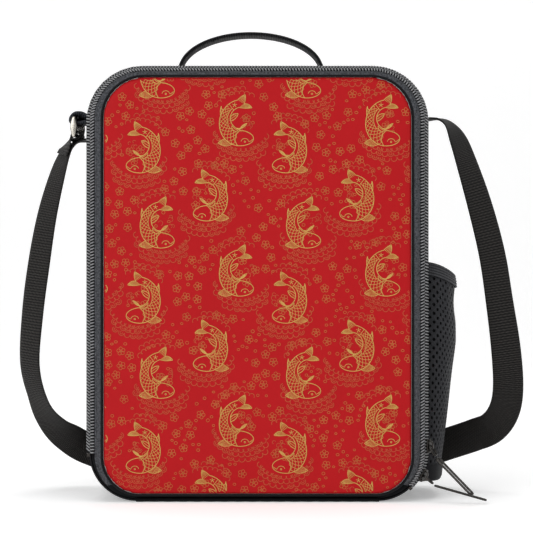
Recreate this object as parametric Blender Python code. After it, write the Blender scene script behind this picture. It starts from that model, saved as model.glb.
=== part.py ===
"""Insulated lunch bag: a zipped front lid, foam walls, top handle, side bottle pocket and shoulder strap.

Metres, +Z up, the front faces -Y. The origin is on the surface that the bag stands on, under its middle.
"""

from math import cos, pi, radians, sin

import bmesh
import bpy
from mathutils import Matrix, Vector

# Overall sizes of the sewn body.
BAG_WIDTH = 0.220
BAG_DEPTH = 0.090
BAG_HEIGHT = 0.280
TOP_CORNER_RADIUS = 0.036
BASE_CORNER_RADIUS = 0.032

# Layers of a wall, and the gap kept between touching pieces.
SHELL_CLOTH = 0.0010
WALL_FOAM = 0.0045
LINING_FILM = 0.0006
LID_CLOTH = 0.0013
GAP = 0.0003
WALL_INSET = 0.0015
BACK_CORD = 0.0022

# The zipper band round the front: a row of coil on the lid, a row on the body, and a tape on each.
LID_ROW_WIDTH = 0.0025
BODY_ROW_WIDTH = 0.0027
TAPE_SHOWN = 0.0036
TAPE_THICKNESS = 0.0007
PIPING_WIDTH = 0.0012
COIL_DEPTH = 0.0018
MEET_DEPTH = 0.0023
BODY_ROW_RUN = 0.0040
LID_ROW_EDGE_DEPTH = 0.0007
BODY_TAPE_DEPTH = 0.0060
TOP_BAND_SHARE = 0.64
BASE_BAND_SHARE = 0.40
LID_AXIS_Y_INSET = 0.0015
LID_AXIS_Z = 0.0030

# Sliders and pulls.
SLIDER_LENGTH = 0.0086
SLIDER_FRONT_HALF = 0.0024
SLIDER_BACK_HALF = 0.0036
SLIDER_PLATE = 0.0012
BRIDGE_WIDTH = 0.0014
BRIDGE_LENGTH = 0.0064
BRIDGE_RISE = 0.0030
UPPER_SLIDER_Z = 0.0360
LOWER_SLIDER_ARC = radians(28.0)
PULL_LENGTH = 0.0345
PULL_WIDTH = 0.0050
PULL_WIRE = 0.0013
LINK_LENGTH = 0.0080
UPPER_LINK_DROP = radians(58.0)
UPPER_BAR_DROP = radians(39.0)
UPPER_SPLAY = radians(-4.0)
LOWER_LINK_DROP = radians(12.0)
LOWER_BAR_DROP = radians(-13.0)
LOWER_SPLAY = radians(22.0)

# Top handle.
HANDLE_CENTRE_X = -0.0045
HANDLE_HALF_SPAN = 0.0465
HANDLE_RISE = 0.0237
HANDLE_WIDTH = 0.0250
HANDLE_THICKNESS = 0.0026
HANDLE_FOOT_WIDTH = 0.0008
PATCH_LENGTH = 0.0160
PATCH_THICKNESS = 0.0016

# Shoulder strap and its metal slide.
STRAP_WIDTH = 0.0220
STRAP_THICKNESS = 0.0016
STRAP_AXIS_Z = 0.2450
ANCHOR_THICKNESS = 0.0012
ANCHOR_HEIGHT = 0.0270
GLIDE_SIDE = 0.0025
GLIDE_WIDTH = STRAP_WIDTH + 2 * GLIDE_SIDE
GLIDE_HEIGHT = 0.0133
GLIDE_THICKNESS = 0.0024
GLIDE_SLOT = 0.0032

# Mesh bottle pocket on the right side.
POCKET_FRONT_CLEARANCE = 0.0006
POCKET_BACK = 0.0395
POCKET_BOTTOM = 0.0120
POCKET_TOP = 0.1540
POCKET_BULGE_TOP = 0.0235
POCKET_BULGE_BOTTOM = 0.0130
POCKET_WALL = 0.0012
POCKET_BAND_HEIGHT = 0.0085
POCKET_BASE_HEIGHT = 0.0030
POCKET_ARC_STEPS = 12

# Flat mesh pocket inside the lid.
LID_POCKET_WIDTH = 0.1500
LID_POCKET_HEIGHT = 0.1250
LID_POCKET_BOTTOM = 0.0400
LID_POCKET_THICKNESS = 0.0008
LID_POCKET_BINDING = 0.0080

CORNER_STEPS = 8
ARC_STATIONS = CORNER_STEPS + 1
LEFT_ZIP_END = CORNER_STEPS
RIGHT_ZIP_END = 3 * ARC_STATIONS + CORNER_STEPS // 2

COLOURS = {
    "print": ((0.45, 0.020, 0.024), 0.75, 0.0),
    "black": ((0.012, 0.012, 0.014), 0.80, 0.0),
    "charcoal": ((0.060, 0.064, 0.072), 0.80, 0.0),
    "coil": ((0.110, 0.112, 0.118), 0.40, 0.0),
    "foam": ((0.70, 0.70, 0.68), 0.90, 0.0),
    "foil": ((0.62, 0.63, 0.65), 0.30, 0.9),
    "mesh": ((0.020, 0.020, 0.022), 0.85, 0.0),
    "gunmetal": ((0.16, 0.15, 0.14), 0.30, 1.0),
    "nickel": ((0.60, 0.58, 0.54), 0.25, 1.0),
}


def clear_scene():
    for obj in list(bpy.data.objects):
        bpy.data.objects.remove(obj, do_unlink=True)


def finish(name, bm, finish_name):
    """Turns a bmesh into a named object with its own material."""
    bmesh.ops.recalc_face_normals(bm, faces=bm.faces)
    mesh = bpy.data.meshes.new(name)
    bm.to_mesh(mesh)
    bm.free()
    mesh.shade_smooth()
    mesh.set_sharp_from_angle(angle=radians(35.0))
    colour, roughness, metallic = COLOURS[finish_name]
    material = bpy.data.materials.new(name)
    material.use_nodes = True
    shader = material.node_tree.nodes["Principled BSDF"]
    shader.inputs["Base Color"].default_value = (*colour, 1.0)
    shader.inputs["Roughness"].default_value = roughness
    shader.inputs["Metallic"].default_value = metallic
    mesh.materials.append(material)
    obj = bpy.data.objects.new(name, mesh)
    bpy.context.scene.collection.objects.link(obj)
    return obj


def loft(sections, closed):
    """Skins a row of closed sections; it caps the two ends unless the row closes on itself."""
    bm = bmesh.new()
    rings = [[bm.verts.new(point) for point in section] for section in sections]
    count = len(rings[0])
    last = len(rings) if closed else len(rings) - 1
    for index in range(last):
        near = rings[index]
        far = rings[(index + 1) % len(rings)]
        for corner in range(count):
            beside = (corner + 1) % count
            bm.faces.new((near[corner], near[beside], far[beside], far[corner]))
    if not closed:
        bm.faces.new(rings[0])
        bm.faces.new(rings[-1])
    return bm


def box(low, high):
    bm = bmesh.new()
    bmesh.ops.create_cube(bm, size=1.0)
    low, high = Vector(low), Vector(high)
    size = high - low
    bmesh.ops.scale(bm, vec=size, verts=bm.verts)
    bmesh.ops.translate(bm, vec=(low + high) / 2, verts=bm.verts)
    return bm


def body_outline(side, top, bottom):
    """Stations (x, z) round the body's front view, from the bottom left corner over the top, each edge
    moved in by its own inset. Each corner is an arc of CORNER_STEPS steps."""
    half = BAG_WIDTH / 2 - side
    low = bottom
    high = BAG_HEIGHT - top
    top_radius = TOP_CORNER_RADIUS - (side + top) / 2
    base_radius = BASE_CORNER_RADIUS - (side + bottom) / 2
    corners = (
        (-half + base_radius, low + base_radius, base_radius, 1.5 * pi),
        (-half + top_radius, high - top_radius, top_radius, pi),
        (half - top_radius, high - top_radius, top_radius, 0.5 * pi),
        (half - base_radius, low + base_radius, base_radius, 0.0),
    )
    points = []
    for centre_x, centre_z, radius, start in corners:
        for step in range(ARC_STATIONS):
            angle = start - 0.5 * pi * step / CORNER_STEPS
            points.append((centre_x + radius * cos(angle), centre_z + radius * sin(angle)))
    return points


def ring(name, profile, finish_name, first=None, last=None):
    """A strip that follows the body's outline. Each profile point is (side, top, bottom, y); with first
    and last it is an open strip between those stations."""
    outlines = [body_outline(side, top, bottom) for side, top, bottom, _ in profile]
    stations = range(len(outlines[0])) if first is None else range(first, last + 1)
    sections = []
    for station in stations:
        sections.append(
            [
                Vector((outline[station][0], point[3], outline[station][1]))
                for outline, point in zip(outlines, profile)
            ]
        )
    return finish(name, loft(sections, first is None), finish_name)


def plate(name, side, top, bottom, front, back, finish_name):
    """A flat layer with the body's rounded outline, between two y planes."""
    outline = body_outline(side, top, bottom)
    sections = [[Vector((x, y, z)) for x, z in outline] for y in (front, back)]
    return finish(name, loft(sections, False), finish_name)


def wall_profile(outer, inner, front, back):
    """Four profile points of a wall layer; at the bottom it starts on the ground, not at WALL_INSET."""
    points = []
    for inset, y in ((outer, front), (outer, back), (inner, back), (inner, front)):
        points.append((inset, inset, inset - WALL_INSET, y))
    return points


def band_point(width, gaps, y):
    """A point of the zipper band, width and gaps in from its outer edge. The band is narrower along the
    top and closes up along the bottom, but its gaps stay."""
    kept = gaps * GAP
    return (width + kept, width * TOP_BAND_SHARE + kept, width * BASE_BAND_SHARE + kept, y)


FRONT_Y = -BAG_DEPTH / 2
BACK_Y = BAG_DEPTH / 2
BOTH_ROWS = BODY_ROW_WIDTH + LID_ROW_WIDTH
LID_CORD_IN = BOTH_ROWS + TAPE_SHOWN + PIPING_WIDTH
LID_EDGE = band_point(LID_CORD_IN, 4, 0.0)[:3]
LID_BACK_Y = FRONT_Y + LID_CLOTH + GAP + WALL_FOAM + GAP + LINING_FILM
GUSSET_FRONT_Y = LID_BACK_Y + 4 * GAP
GUSSET_BACK_Y = BACK_Y - BACK_CORD - GAP
POCKET_FRONT = GUSSET_FRONT_Y - GAP + BODY_TAPE_DEPTH + POCKET_FRONT_CLEARANCE
OUTER_IN = WALL_INSET + SHELL_CLOTH
FOAM_IN = OUTER_IN + GAP + WALL_FOAM
LINING_IN = FOAM_IN + GAP + LINING_FILM


def make_walls():
    ring("gusset_outer", wall_profile(WALL_INSET, OUTER_IN, GUSSET_FRONT_Y, GUSSET_BACK_Y), "black")
    ring("gusset_foam", wall_profile(OUTER_IN + GAP, FOAM_IN, GUSSET_FRONT_Y, GUSSET_BACK_Y), "foam")
    ring("gusset_lining", wall_profile(FOAM_IN + GAP, LINING_IN, GUSSET_FRONT_Y, GUSSET_BACK_Y), "foil")


def make_back():
    """The back panel: cloth, foam and lining, with a sewn cord all round its edge."""
    cord_in = WALL_INSET + BACK_CORD
    inset = cord_in + GAP
    cloth_front = BACK_Y - SHELL_CLOTH
    plate("back_panel_outer", inset, inset, inset - WALL_INSET, cloth_front, BACK_Y, "black")
    foam_back = cloth_front - GAP
    foam_front = foam_back - WALL_FOAM
    core = LINING_IN + GAP
    plate("back_foam", core, core, core - WALL_INSET, foam_front, foam_back, "foam")
    film_back = foam_front - GAP
    plate("back_lining", core, core, core - WALL_INSET, film_back - LINING_FILM, film_back, "foil")
    soft = BACK_CORD * 0.3
    y_low = BACK_Y - BACK_CORD
    profile = []
    for inset, y in (
        (0.0, y_low + soft),
        (0.0, BACK_Y - soft),
        (soft, BACK_Y),
        (cord_in, BACK_Y),
        (cord_in, y_low),
        (soft, y_low),
    ):
        profile.append((inset, inset, max(inset - WALL_INSET, 0.0), y))
    ring("back_piping", profile, "black")


def make_zipper():
    """Two rows of coil that meet on the front corner, each sewn to its tape."""
    row = BODY_ROW_WIDTH
    corner_y = GUSSET_FRONT_Y - 2 * GAP
    meet_y = FRONT_Y + MEET_DEPTH
    edge_y = FRONT_Y + LID_ROW_EDGE_DEPTH
    ring(
        "zipper_coil_body",
        [
            band_point(row, 0, meet_y),
            band_point(0.0, 0, meet_y + BODY_ROW_RUN),
            band_point(0.0, 0, corner_y),
            band_point(row, 0, meet_y + COIL_DEPTH),
        ],
        "coil",
        LEFT_ZIP_END,
        RIGHT_ZIP_END,
    )
    ring(
        "zipper_coil_lid",
        [
            band_point(BOTH_ROWS, 1, edge_y),
            band_point(row, 1, meet_y - GAP),
            band_point(row, 1, meet_y - GAP + COIL_DEPTH),
            band_point(BOTH_ROWS, 1, edge_y + COIL_DEPTH),
        ],
        "coil",
        LEFT_ZIP_END,
        RIGHT_ZIP_END,
    )
    tape_in = BOTH_ROWS + TAPE_SHOWN
    ring(
        "zipper_tape_lid",
        [
            band_point(tape_in, 2, FRONT_Y + GAP),
            band_point(BOTH_ROWS, 2, edge_y),
            band_point(BOTH_ROWS, 2, edge_y + TAPE_THICKNESS),
            band_point(tape_in, 2, FRONT_Y + GAP + TAPE_THICKNESS),
        ],
        "charcoal",
        LEFT_ZIP_END - 4,
        RIGHT_ZIP_END,
    )
    tape_front = corner_y + GAP
    tape_back = tape_front + BODY_TAPE_DEPTH
    outer = WALL_INSET - GAP - TAPE_THICKNESS
    inner = WALL_INSET - GAP
    ring(
        "zipper_tape_body",
        [
            (outer, outer, outer - WALL_INSET, tape_front),
            (outer, outer, outer - WALL_INSET, tape_back),
            (inner, inner, inner - WALL_INSET, tape_back),
            (inner, inner, inner - WALL_INSET, tape_front),
        ],
        "charcoal",
        LEFT_ZIP_END,
        RIGHT_ZIP_END,
    )
    stops = (("zipper_stop_left", LEFT_ZIP_END, -1), ("zipper_stop_right", RIGHT_ZIP_END, 1))
    for name, station, away in stops:
        middle = body_outline(*band_point(row / 2, 0, 0.0)[:3])
        x, z = middle[station]
        ahead = middle[station + away]
        along = Vector((ahead[0] - x, 0.0, ahead[1] - z)).normalized()
        block = box((-0.0011, -0.0010, 0.0), (0.0011, 0.0010, 0.0022))
        turn = along.to_track_quat("Z", "Y").to_matrix().to_4x4()
        centre = Vector((x, meet_y + 0.0030, z)) + along * 2 * GAP
        obj = finish(name, block, "gunmetal")
        obj.matrix_world = Matrix.Translation(centre) @ turn


def make_lid():
    """The printed front panel with its foam, lining, edge cord and flat inner pocket."""
    cloth_back = FRONT_Y + LID_CLOTH
    plate("lid_outer_panel", *LID_EDGE, FRONT_Y, cloth_back, "print")
    cord_out = LID_CORD_IN - PIPING_WIDTH
    profile = [
        band_point(LID_CORD_IN, 3, cloth_back),
        band_point(LID_CORD_IN, 3, FRONT_Y),
        band_point(cord_out, 3, FRONT_Y),
        band_point(cord_out, 3, cloth_back),
    ]
    ring("lid_piping", profile, "black")
    foam_front = cloth_back + GAP
    foam_back = foam_front + WALL_FOAM
    plate("lid_foam", *LID_EDGE, foam_front, foam_back, "foam")
    film_front = foam_back + GAP
    film_back = film_front + LINING_FILM
    plate("lid_lining", *LID_EDGE, film_front, film_back, "foil")
    net_front = film_back + GAP
    net_back = net_front + LID_POCKET_THICKNESS
    half = LID_POCKET_WIDTH / 2
    mouth = LID_POCKET_BOTTOM + LID_POCKET_HEIGHT
    net = box((-half, net_front, LID_POCKET_BOTTOM), (half, net_back, mouth - LID_POCKET_BINDING - GAP))
    finish("lid_pocket_mesh", net, "mesh")
    binding = box((-half, net_front, mouth - LID_POCKET_BINDING), (half, net_back + GAP, mouth))
    finish("lid_pocket_binding", binding, "black")


def make_hinge_strip():
    """The sewn strip along the bottom front edge that the lid folds on."""
    half = BAG_WIDTH / 2 - BASE_CORNER_RADIUS
    front = FRONT_Y + LID_AXIS_Y_INSET + GAP
    strip = box((-half, front, 0.0), (half, GUSSET_FRONT_Y - GAP, LID_AXIS_Z - GAP))
    finish("hinge_strip", strip, "black")


def sweep_band(path, widths, thickness, across):
    """A flat band through path. across gives the direction of its width at each station."""
    sections = []
    for index, centre in enumerate(path):
        before = path[max(index - 1, 0)]
        after = path[min(index + 1, len(path) - 1)]
        along = (after - before).normalized()
        side = across[index] - along * across[index].dot(along)
        side = side.normalized() * widths[index] / 2
        up = along.cross(side).normalized() * thickness / 2
        sections.append([centre - side - up, centre + side - up, centre + side + up, centre - side + up])
    return loft(sections, False)


def make_handle():
    """A webbing arch. Its feet narrow to the line that the handle tips on."""
    patch_low = BAG_HEIGHT - WALL_INSET + GAP
    patch_high = patch_low + PATCH_THICKNESS
    base_z = patch_high + GAP
    steps = 20
    path = []
    widths = []
    for step in range(steps + 1):
        angle = pi - pi * step / steps
        height = HANDLE_RISE * sin(angle)
        path.append(Vector((HANDLE_CENTRE_X + HANDLE_HALF_SPAN * cos(angle), 0.0, base_z + height)))
        widths.append(min(HANDLE_WIDTH, HANDLE_FOOT_WIDTH + 1.9 * height))
    across = [Vector((0.0, 1.0, 0.0))] * len(path)
    finish("top_handle", sweep_band(path, widths, HANDLE_THICKNESS, across), "black")
    for name, side in (("handle_patch_left", -1), ("handle_patch_right", 1)):
        centre = HANDLE_CENTRE_X + side * HANDLE_HALF_SPAN
        ends = sorted((centre - side * HANDLE_THICKNESS, centre + side * PATCH_LENGTH))
        half = HANDLE_WIDTH / 2
        pad = box((ends[0], -half, patch_low), (ends[1], half, patch_high))
        finish(name, pad, "black")


def smooth_path(stations, steps):
    """Catmull-Rom curve through hand-placed stations (x, y, z, lean in degrees)."""
    points = []
    leans = []
    for index in range(len(stations) - 1):
        rows = [stations[max(index - 1, 0)], stations[index], stations[index + 1]]
        rows.append(stations[min(index + 2, len(stations) - 1)])
        for step in range(steps):
            t = step / steps
            weights = (
                0.5 * (-t + 2 * t**2 - t**3),
                0.5 * (2 - 5 * t**2 + 3 * t**3),
                0.5 * (t + 4 * t**2 - 3 * t**3),
                0.5 * (-(t**2) + t**3),
            )
            values = [sum(w * row[axis] for w, row in zip(weights, rows)) for axis in range(4)]
            points.append(Vector(values[:3]))
            leans.append(values[3])
    points.append(Vector(stations[-1][:3]))
    leans.append(stations[-1][3])
    return points, leans


def strap_sides(path, leans):
    """Width directions: at lean 90 the band lies across the bag's depth, at 0 its face looks forward."""
    sides = []
    depth = Vector((0.0, 1.0, 0.0))
    for index, lean in enumerate(leans):
        before = path[max(index - 1, 0)]
        after = path[min(index + 1, len(path) - 1)]
        along = (after - before).normalized()
        flat = along.cross(depth).normalized()
        square = (depth - along * depth.dot(along)).normalized()
        sides.append(flat * cos(radians(lean)) + square * sin(radians(lean)))
    return sides


STRAP_STATION_HALF = 0.1100
STRAP_END_X = BAG_WIDTH / 2 - WALL_INSET + GAP + ANCHOR_THICKNESS + GAP
STRAP_BACK_Y = BAG_DEPTH / 2 + STRAP_THICKNESS / 2 + 0.0004
STRAP_STATIONS = (
    (STRAP_END_X, 0.0, 0.2484, 90.0),
    (0.1145, 0.0, 0.2487, 90.0),
    (0.1203, 0.0, 0.2486, 84.0),
    (0.1268, 0.0, 0.2450, 70.0),
    (0.1326, 0.0, 0.2360, 54.0),
    (0.1382, 0.0, 0.2210, 46.0),
    (0.1475, 0.0, 0.1912, 36.0),
    (0.1555, 0.0, 0.1593, 31.0),
    (0.1605, 0.0, 0.1274, 28.0),
    (0.1648, 0.0, 0.0956, 20.0),
    (0.1664, 0.002, 0.0700, 16.0),
    (0.1640, 0.007, 0.0540, 10.0),
    (0.1570, 0.014, 0.0430, 4.0),
    (0.1460, 0.023, 0.0370, 0.0),
    (0.1330, 0.036, 0.0310, 0.0),
    (0.1180, STRAP_BACK_Y, 0.0250, 0.0),
    (0.0900, STRAP_BACK_Y, 0.0180, 0.0),
    (0.0450, STRAP_BACK_Y, 0.0135, 0.0),
    (0.0, STRAP_BACK_Y, 0.0122, 0.0),
    (-0.0450, STRAP_BACK_Y, 0.0135, 0.0),
    (-0.0900, STRAP_BACK_Y, 0.0180, 0.0),
    (-0.1160, STRAP_BACK_Y, 0.0255, 0.0),
    (-0.1290, 0.034, 0.0345, 12.0),
    (-0.1390, 0.020, 0.0460, 34.0),
    (-0.1465, 0.008, 0.0620, 50.0),
    (-0.1515, 0.002, 0.0860, 48.0),
    (-0.1495, 0.0, 0.1195, 44.0),
    (-0.1455, 0.0, 0.1513, 43.0),
    (-0.1402, 0.0, 0.1832, 48.0),
    (-0.1335, 0.0, 0.2100, 56.0),
    (-0.1278, 0.0, 0.2260, 66.0),
    (-0.1215, 0.0, 0.2325, 80.0),
    (-0.1150, 0.0, 0.2345, 90.0),
    (-STRAP_END_X, 0.0, 0.2345, 90.0),
)
LOOP_STATIONS = (
    (-STRAP_END_X, 0.0, 0.2482, 90.0),
    (-0.1135, 0.0, 0.2488, 90.0),
    (-0.1172, 0.0, 0.2509, 90.0),
    (-0.1215, 0.0, 0.2512, 90.0),
    (-0.1240, 0.0, 0.2488, 90.0),
    (-0.1246, 0.0, 0.2455, 90.0),
)


def beside_bag(x):
    """Moves a station's x, which is written for a bag of STRAP_STATION_HALF, out to this bag's side."""
    share = max(-1.0, min(1.0, x / STRAP_STATION_HALF))
    return x + share * (BAG_WIDTH / 2 - STRAP_STATION_HALF)


def make_strap():
    """The webbing strap, the short loop that holds its slide, the slide, and the patches on the walls."""
    for name, stations, steps in (
        ("shoulder_strap", STRAP_STATIONS, 2),
        ("strap_loop_left", LOOP_STATIONS, 2),
    ):
        ends = (STRAP_END_X, -STRAP_END_X)
        placed = [(x if x in ends else beside_bag(x), *rest) for x, *rest in stations]
        path, leans = smooth_path(placed, steps)
        widths = [STRAP_WIDTH] * len(path)
        band = sweep_band(path, widths, STRAP_THICKNESS, strap_sides(path, leans))
        finish(name, band, "black")
    wall_x = BAG_WIDTH / 2 - WALL_INSET + GAP
    half = STRAP_WIDTH / 2 + 0.0010
    low = STRAP_AXIS_Z - ANCHOR_HEIGHT / 2
    high = STRAP_AXIS_Z + ANCHOR_HEIGHT / 2
    for name, side in (("strap_anchor_left", -1), ("strap_anchor_right", 1)):
        ends = sorted((side * wall_x, side * (wall_x + ANCHOR_THICKNESS)))
        finish(name, box((ends[0], -half, low), (ends[1], half, high)), "black")
    slide = finish(
        "strap_slide",
        box(
            (-GLIDE_THICKNESS / 2, -GLIDE_WIDTH / 2, -GLIDE_HEIGHT / 2),
            (GLIDE_THICKNESS / 2, GLIDE_WIDTH / 2, GLIDE_HEIGHT / 2),
        ),
        "nickel",
    )
    bar = (GLIDE_HEIGHT - 2 * GLIDE_SLOT) / 3
    for place in (-1, 1):
        middle = place * (bar + GLIDE_SLOT) / 2
        hole = box(
            (-GLIDE_THICKNESS, -STRAP_WIDTH / 2 - 0.0004, middle - GLIDE_SLOT / 2),
            (GLIDE_THICKNESS, STRAP_WIDTH / 2 + 0.0004, middle + GLIDE_SLOT / 2),
        )
        cutter = finish("slide_slot", hole, "nickel")
        cutter.hide_render = True
        cutter.display_type = "WIRE"
        cutter.parent = slide
        cut = slide.modifiers.new("slot", "BOOLEAN")
        cut.object = cutter
        cut.operation = "DIFFERENCE"
    slide.location = (beside_bag(-0.1195), 0.0, 0.2428)


def pocket_arc(bulge, inset, z):
    """Half-oval section of the bottle pocket at height z, moved in by inset."""
    wall_x = BAG_WIDTH / 2 - WALL_INSET + GAP
    points = []
    for step in range(POCKET_ARC_STEPS + 1):
        angle = pi * step / POCKET_ARC_STEPS
        middle = (POCKET_FRONT + POCKET_BACK) / 2
        half = (POCKET_BACK - POCKET_FRONT) / 2 - inset
        out = max(bulge - inset, 0.0) * sin(angle) ** 0.7
        points.append(Vector((wall_x + out, middle - half * cos(angle), z)))
    return points


def pocket_bulge(z):
    share = (z - POCKET_BOTTOM) / (POCKET_TOP - POCKET_BOTTOM)
    return POCKET_BULGE_BOTTOM + (POCKET_BULGE_TOP - POCKET_BULGE_BOTTOM) * min(1.0, share * 1.5)


def pocket_shell(name, low, high, levels, wall, finish_name):
    """A thin wall that stands out from the bag's side, open at the top and the bottom."""
    bm_sections = []
    for level in range(levels + 1):
        z = low + (high - low) * level / levels
        outer = pocket_arc(pocket_bulge(z), 0.0, z)
        inner = pocket_arc(pocket_bulge(z), wall, z)
        bm_sections.append(outer + inner[::-1])
    return finish(name, loft(bm_sections, False), finish_name)


def make_pocket():
    net_low = POCKET_BOTTOM + POCKET_BASE_HEIGHT + GAP
    net_high = POCKET_TOP - POCKET_BAND_HEIGHT - GAP
    pocket_shell("bottle_pocket_mesh", net_low, net_high, 6, POCKET_WALL, "mesh")
    pocket_shell("pocket_elastic", net_high + GAP, POCKET_TOP, 1, POCKET_WALL + GAP, "black")
    sections = [pocket_arc(pocket_bulge(z), 0.0, z) for z in (POCKET_BOTTOM, net_low - GAP)]
    finish("pocket_base", loft(sections, False), "black")


def chain_frame(station_angle):
    """Directions at a slider on the right-hand chain, on the straight side (0) or on the bottom arc:
    across the chain towards the lid, out of the bag, and along the chain upwards."""
    face = Vector((BODY_ROW_WIDTH, BODY_ROW_RUN)).normalized()
    across = Vector((-face.x, -face.y, 0.0))
    out = Vector((face.y, -face.x, 0.0))
    along = Vector((0.0, 0.0, 1.0))
    turn = Matrix.Rotation(station_angle, 3, "Y")
    return turn @ across, turn @ out, turn @ along


def make_slider(name, centre, station_angle):
    """A plate over the coil with a bridge that the pull's link hangs from."""
    across, out, along = chain_frame(station_angle)
    frame = Matrix((across, out, along)).transposed().to_4x4()
    sections = []
    for share, narrow in ((-1.0, 0.6), (-0.6, 1.0), (0.5, 1.0), (1.0, 0.7)):
        z = share * SLIDER_LENGTH / 2
        ends = (SLIDER_FRONT_HALF * narrow, -SLIDER_BACK_HALF * narrow)
        section = [Vector((x, 0.0, z)) for x in ends]
        section += [Vector((x, SLIDER_PLATE, z)) for x in reversed(ends)]
        sections.append(section)
    slider = finish(name, loft(sections, False), "gunmetal")
    reach = BRIDGE_LENGTH / 2
    rise = SLIDER_PLATE + BRIDGE_RISE
    foot = SLIDER_PLATE / 2
    arch = [(-1.0, foot), (-1.0, rise * 0.8), (-0.55, rise), (0.55, rise), (1.0, rise * 0.8), (1.0, foot)]
    path = [Vector((0.0, y, share * reach)) for share, y in arch]
    across_bridge = [Vector((1.0, 0.0, 0.0))] * len(path)
    bridge = finish(
        name + "_bridge",
        sweep_band(path, [BRIDGE_WIDTH] * len(path), 0.0010, across_bridge),
        "gunmetal",
    )
    bridge.hide_render = True
    bridge.display_type = "WIRE"
    bridge.parent = slider
    join = slider.modifiers.new("bridge", "BOOLEAN")
    join.object = bridge
    join.operation = "UNION"
    slider.matrix_world = Matrix.Translation(centre + out * GAP) @ frame
    return centre + out * (GAP + SLIDER_PLATE + BRIDGE_RISE * 0.5)


def wire_frame(name, length, width, finish_name):
    """A flat oblong of wire in the local XY plane, its near end on the local X axis."""
    outer_half = width / 2
    inner_half = outer_half - PULL_WIRE
    corner = outer_half * 0.62
    sections = []
    for centre_x, centre_y, begin in (
        (outer_half - corner, length - corner, 0.0),
        (-outer_half + corner, length - corner, 0.5 * pi),
        (-outer_half + corner, corner - PULL_WIRE / 2, pi),
        (outer_half - corner, corner - PULL_WIRE / 2, 1.5 * pi),
    ):
        for step in range(3):
            angle = begin + 0.25 * pi * step
            section = []
            for radius, z in (
                (corner, -PULL_WIRE / 2),
                (corner, PULL_WIRE / 2),
                (corner - (outer_half - inner_half), PULL_WIRE / 2),
                (corner - (outer_half - inner_half), -PULL_WIRE / 2),
            ):
                x = centre_x + radius * cos(angle)
                y = centre_y + radius * sin(angle)
                section.append(Vector((x, y, z)))
            sections.append(section)
    return finish(name, loft(sections, True), finish_name)


def make_pull(suffix, pivot, station_angle, link_drop, bar_drop, splay):
    """A wire link through the slider's bridge, and the long wire pull that it carries.
    The splay turns the bar about the chain, and the link half as far."""
    across, out, along = chain_frame(station_angle)
    start = pivot
    for name, length, drop, yaw in (
        ("pull_link_" + suffix, LINK_LENGTH, link_drop, splay / 2),
        ("pull_bar_" + suffix, PULL_LENGTH, bar_drop, splay),
    ):
        turn = Matrix.Rotation(yaw, 3, along)
        side = turn @ across
        reach = turn @ out * cos(drop) - along * sin(drop)
        frame = Matrix((side, reach, side.cross(reach))).transposed().to_4x4()
        wire = wire_frame(name, length, PULL_WIDTH, "gunmetal")
        wire.matrix_world = Matrix.Translation(start) @ frame
        start = pivot + reach * (length + PULL_WIRE / 2 + 2 * GAP)


def make_sliders():
    """Two sliders, both run down to the right-hand end of the zipper."""
    middle = body_outline(*band_point(BODY_ROW_WIDTH / 2, 0, 0.0)[:3])
    x = middle[3 * ARC_STATIONS][0]
    y = FRONT_Y + MEET_DEPTH + BODY_ROW_RUN / 2
    upper = make_slider("slider_upper", Vector((x, y, UPPER_SLIDER_Z)), 0.0)
    radius = BASE_CORNER_RADIUS - BODY_ROW_WIDTH / 2
    low_x = x - radius * (1 - cos(LOWER_SLIDER_ARC))
    low_z = BASE_CORNER_RADIUS - radius * sin(LOWER_SLIDER_ARC)
    lower = make_slider("slider_lower", Vector((low_x, y, low_z)), LOWER_SLIDER_ARC)
    make_pull("upper", upper, 0.0, UPPER_LINK_DROP, UPPER_BAR_DROP, UPPER_SPLAY)
    make_pull("lower", lower, LOWER_SLIDER_ARC, LOWER_LINK_DROP, LOWER_BAR_DROP, LOWER_SPLAY)


clear_scene()
make_walls()
make_back()
make_zipper()
make_lid()
make_hinge_strip()
make_handle()
make_strap()
make_pocket()
make_sliders()
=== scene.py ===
"""A soft insulated lunch bag: red printed lid with a zipper on three sides, black walls, a webbing handle
and shoulder strap, and a mesh bottle pocket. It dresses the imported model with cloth, thread and metal."""

import random
from math import atan2, cos, pi, radians, sin

import bpy

from mathutils import Matrix, Vector, noise
from mathutils.bvhtree import BVHTree


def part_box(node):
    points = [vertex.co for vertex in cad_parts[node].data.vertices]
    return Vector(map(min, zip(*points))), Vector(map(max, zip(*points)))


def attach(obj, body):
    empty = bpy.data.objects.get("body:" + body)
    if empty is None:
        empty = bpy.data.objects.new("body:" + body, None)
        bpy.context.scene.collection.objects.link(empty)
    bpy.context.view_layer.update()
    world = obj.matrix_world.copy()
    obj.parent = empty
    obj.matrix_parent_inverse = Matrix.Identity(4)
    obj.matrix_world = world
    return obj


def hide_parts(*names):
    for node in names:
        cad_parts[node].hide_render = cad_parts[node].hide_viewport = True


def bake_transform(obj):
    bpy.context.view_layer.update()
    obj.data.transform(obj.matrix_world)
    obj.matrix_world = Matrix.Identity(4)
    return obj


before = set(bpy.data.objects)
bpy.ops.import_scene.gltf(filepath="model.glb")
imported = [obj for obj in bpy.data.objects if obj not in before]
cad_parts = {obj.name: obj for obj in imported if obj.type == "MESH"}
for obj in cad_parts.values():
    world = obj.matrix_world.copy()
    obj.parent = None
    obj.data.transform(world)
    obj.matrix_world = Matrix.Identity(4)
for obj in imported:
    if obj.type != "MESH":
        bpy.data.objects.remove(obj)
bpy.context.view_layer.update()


# ------------------------------------------------------------------------------------------------
# Studio: a white sweep under and behind the bag, a large soft light on each side and one above,
# and a long-lens camera level with the middle of the bag.
# ------------------------------------------------------------------------------------------------
CAMERA_PLACE = (0.0058, -1.245, 0.151)
CAMERA_LENS = 126.7
SWEEP_WIDTH = 6.0
SWEEP_DEPTH = 2.2
SWEEP_HEIGHT = 3.0
SWEEP_BEND = 0.8
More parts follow.
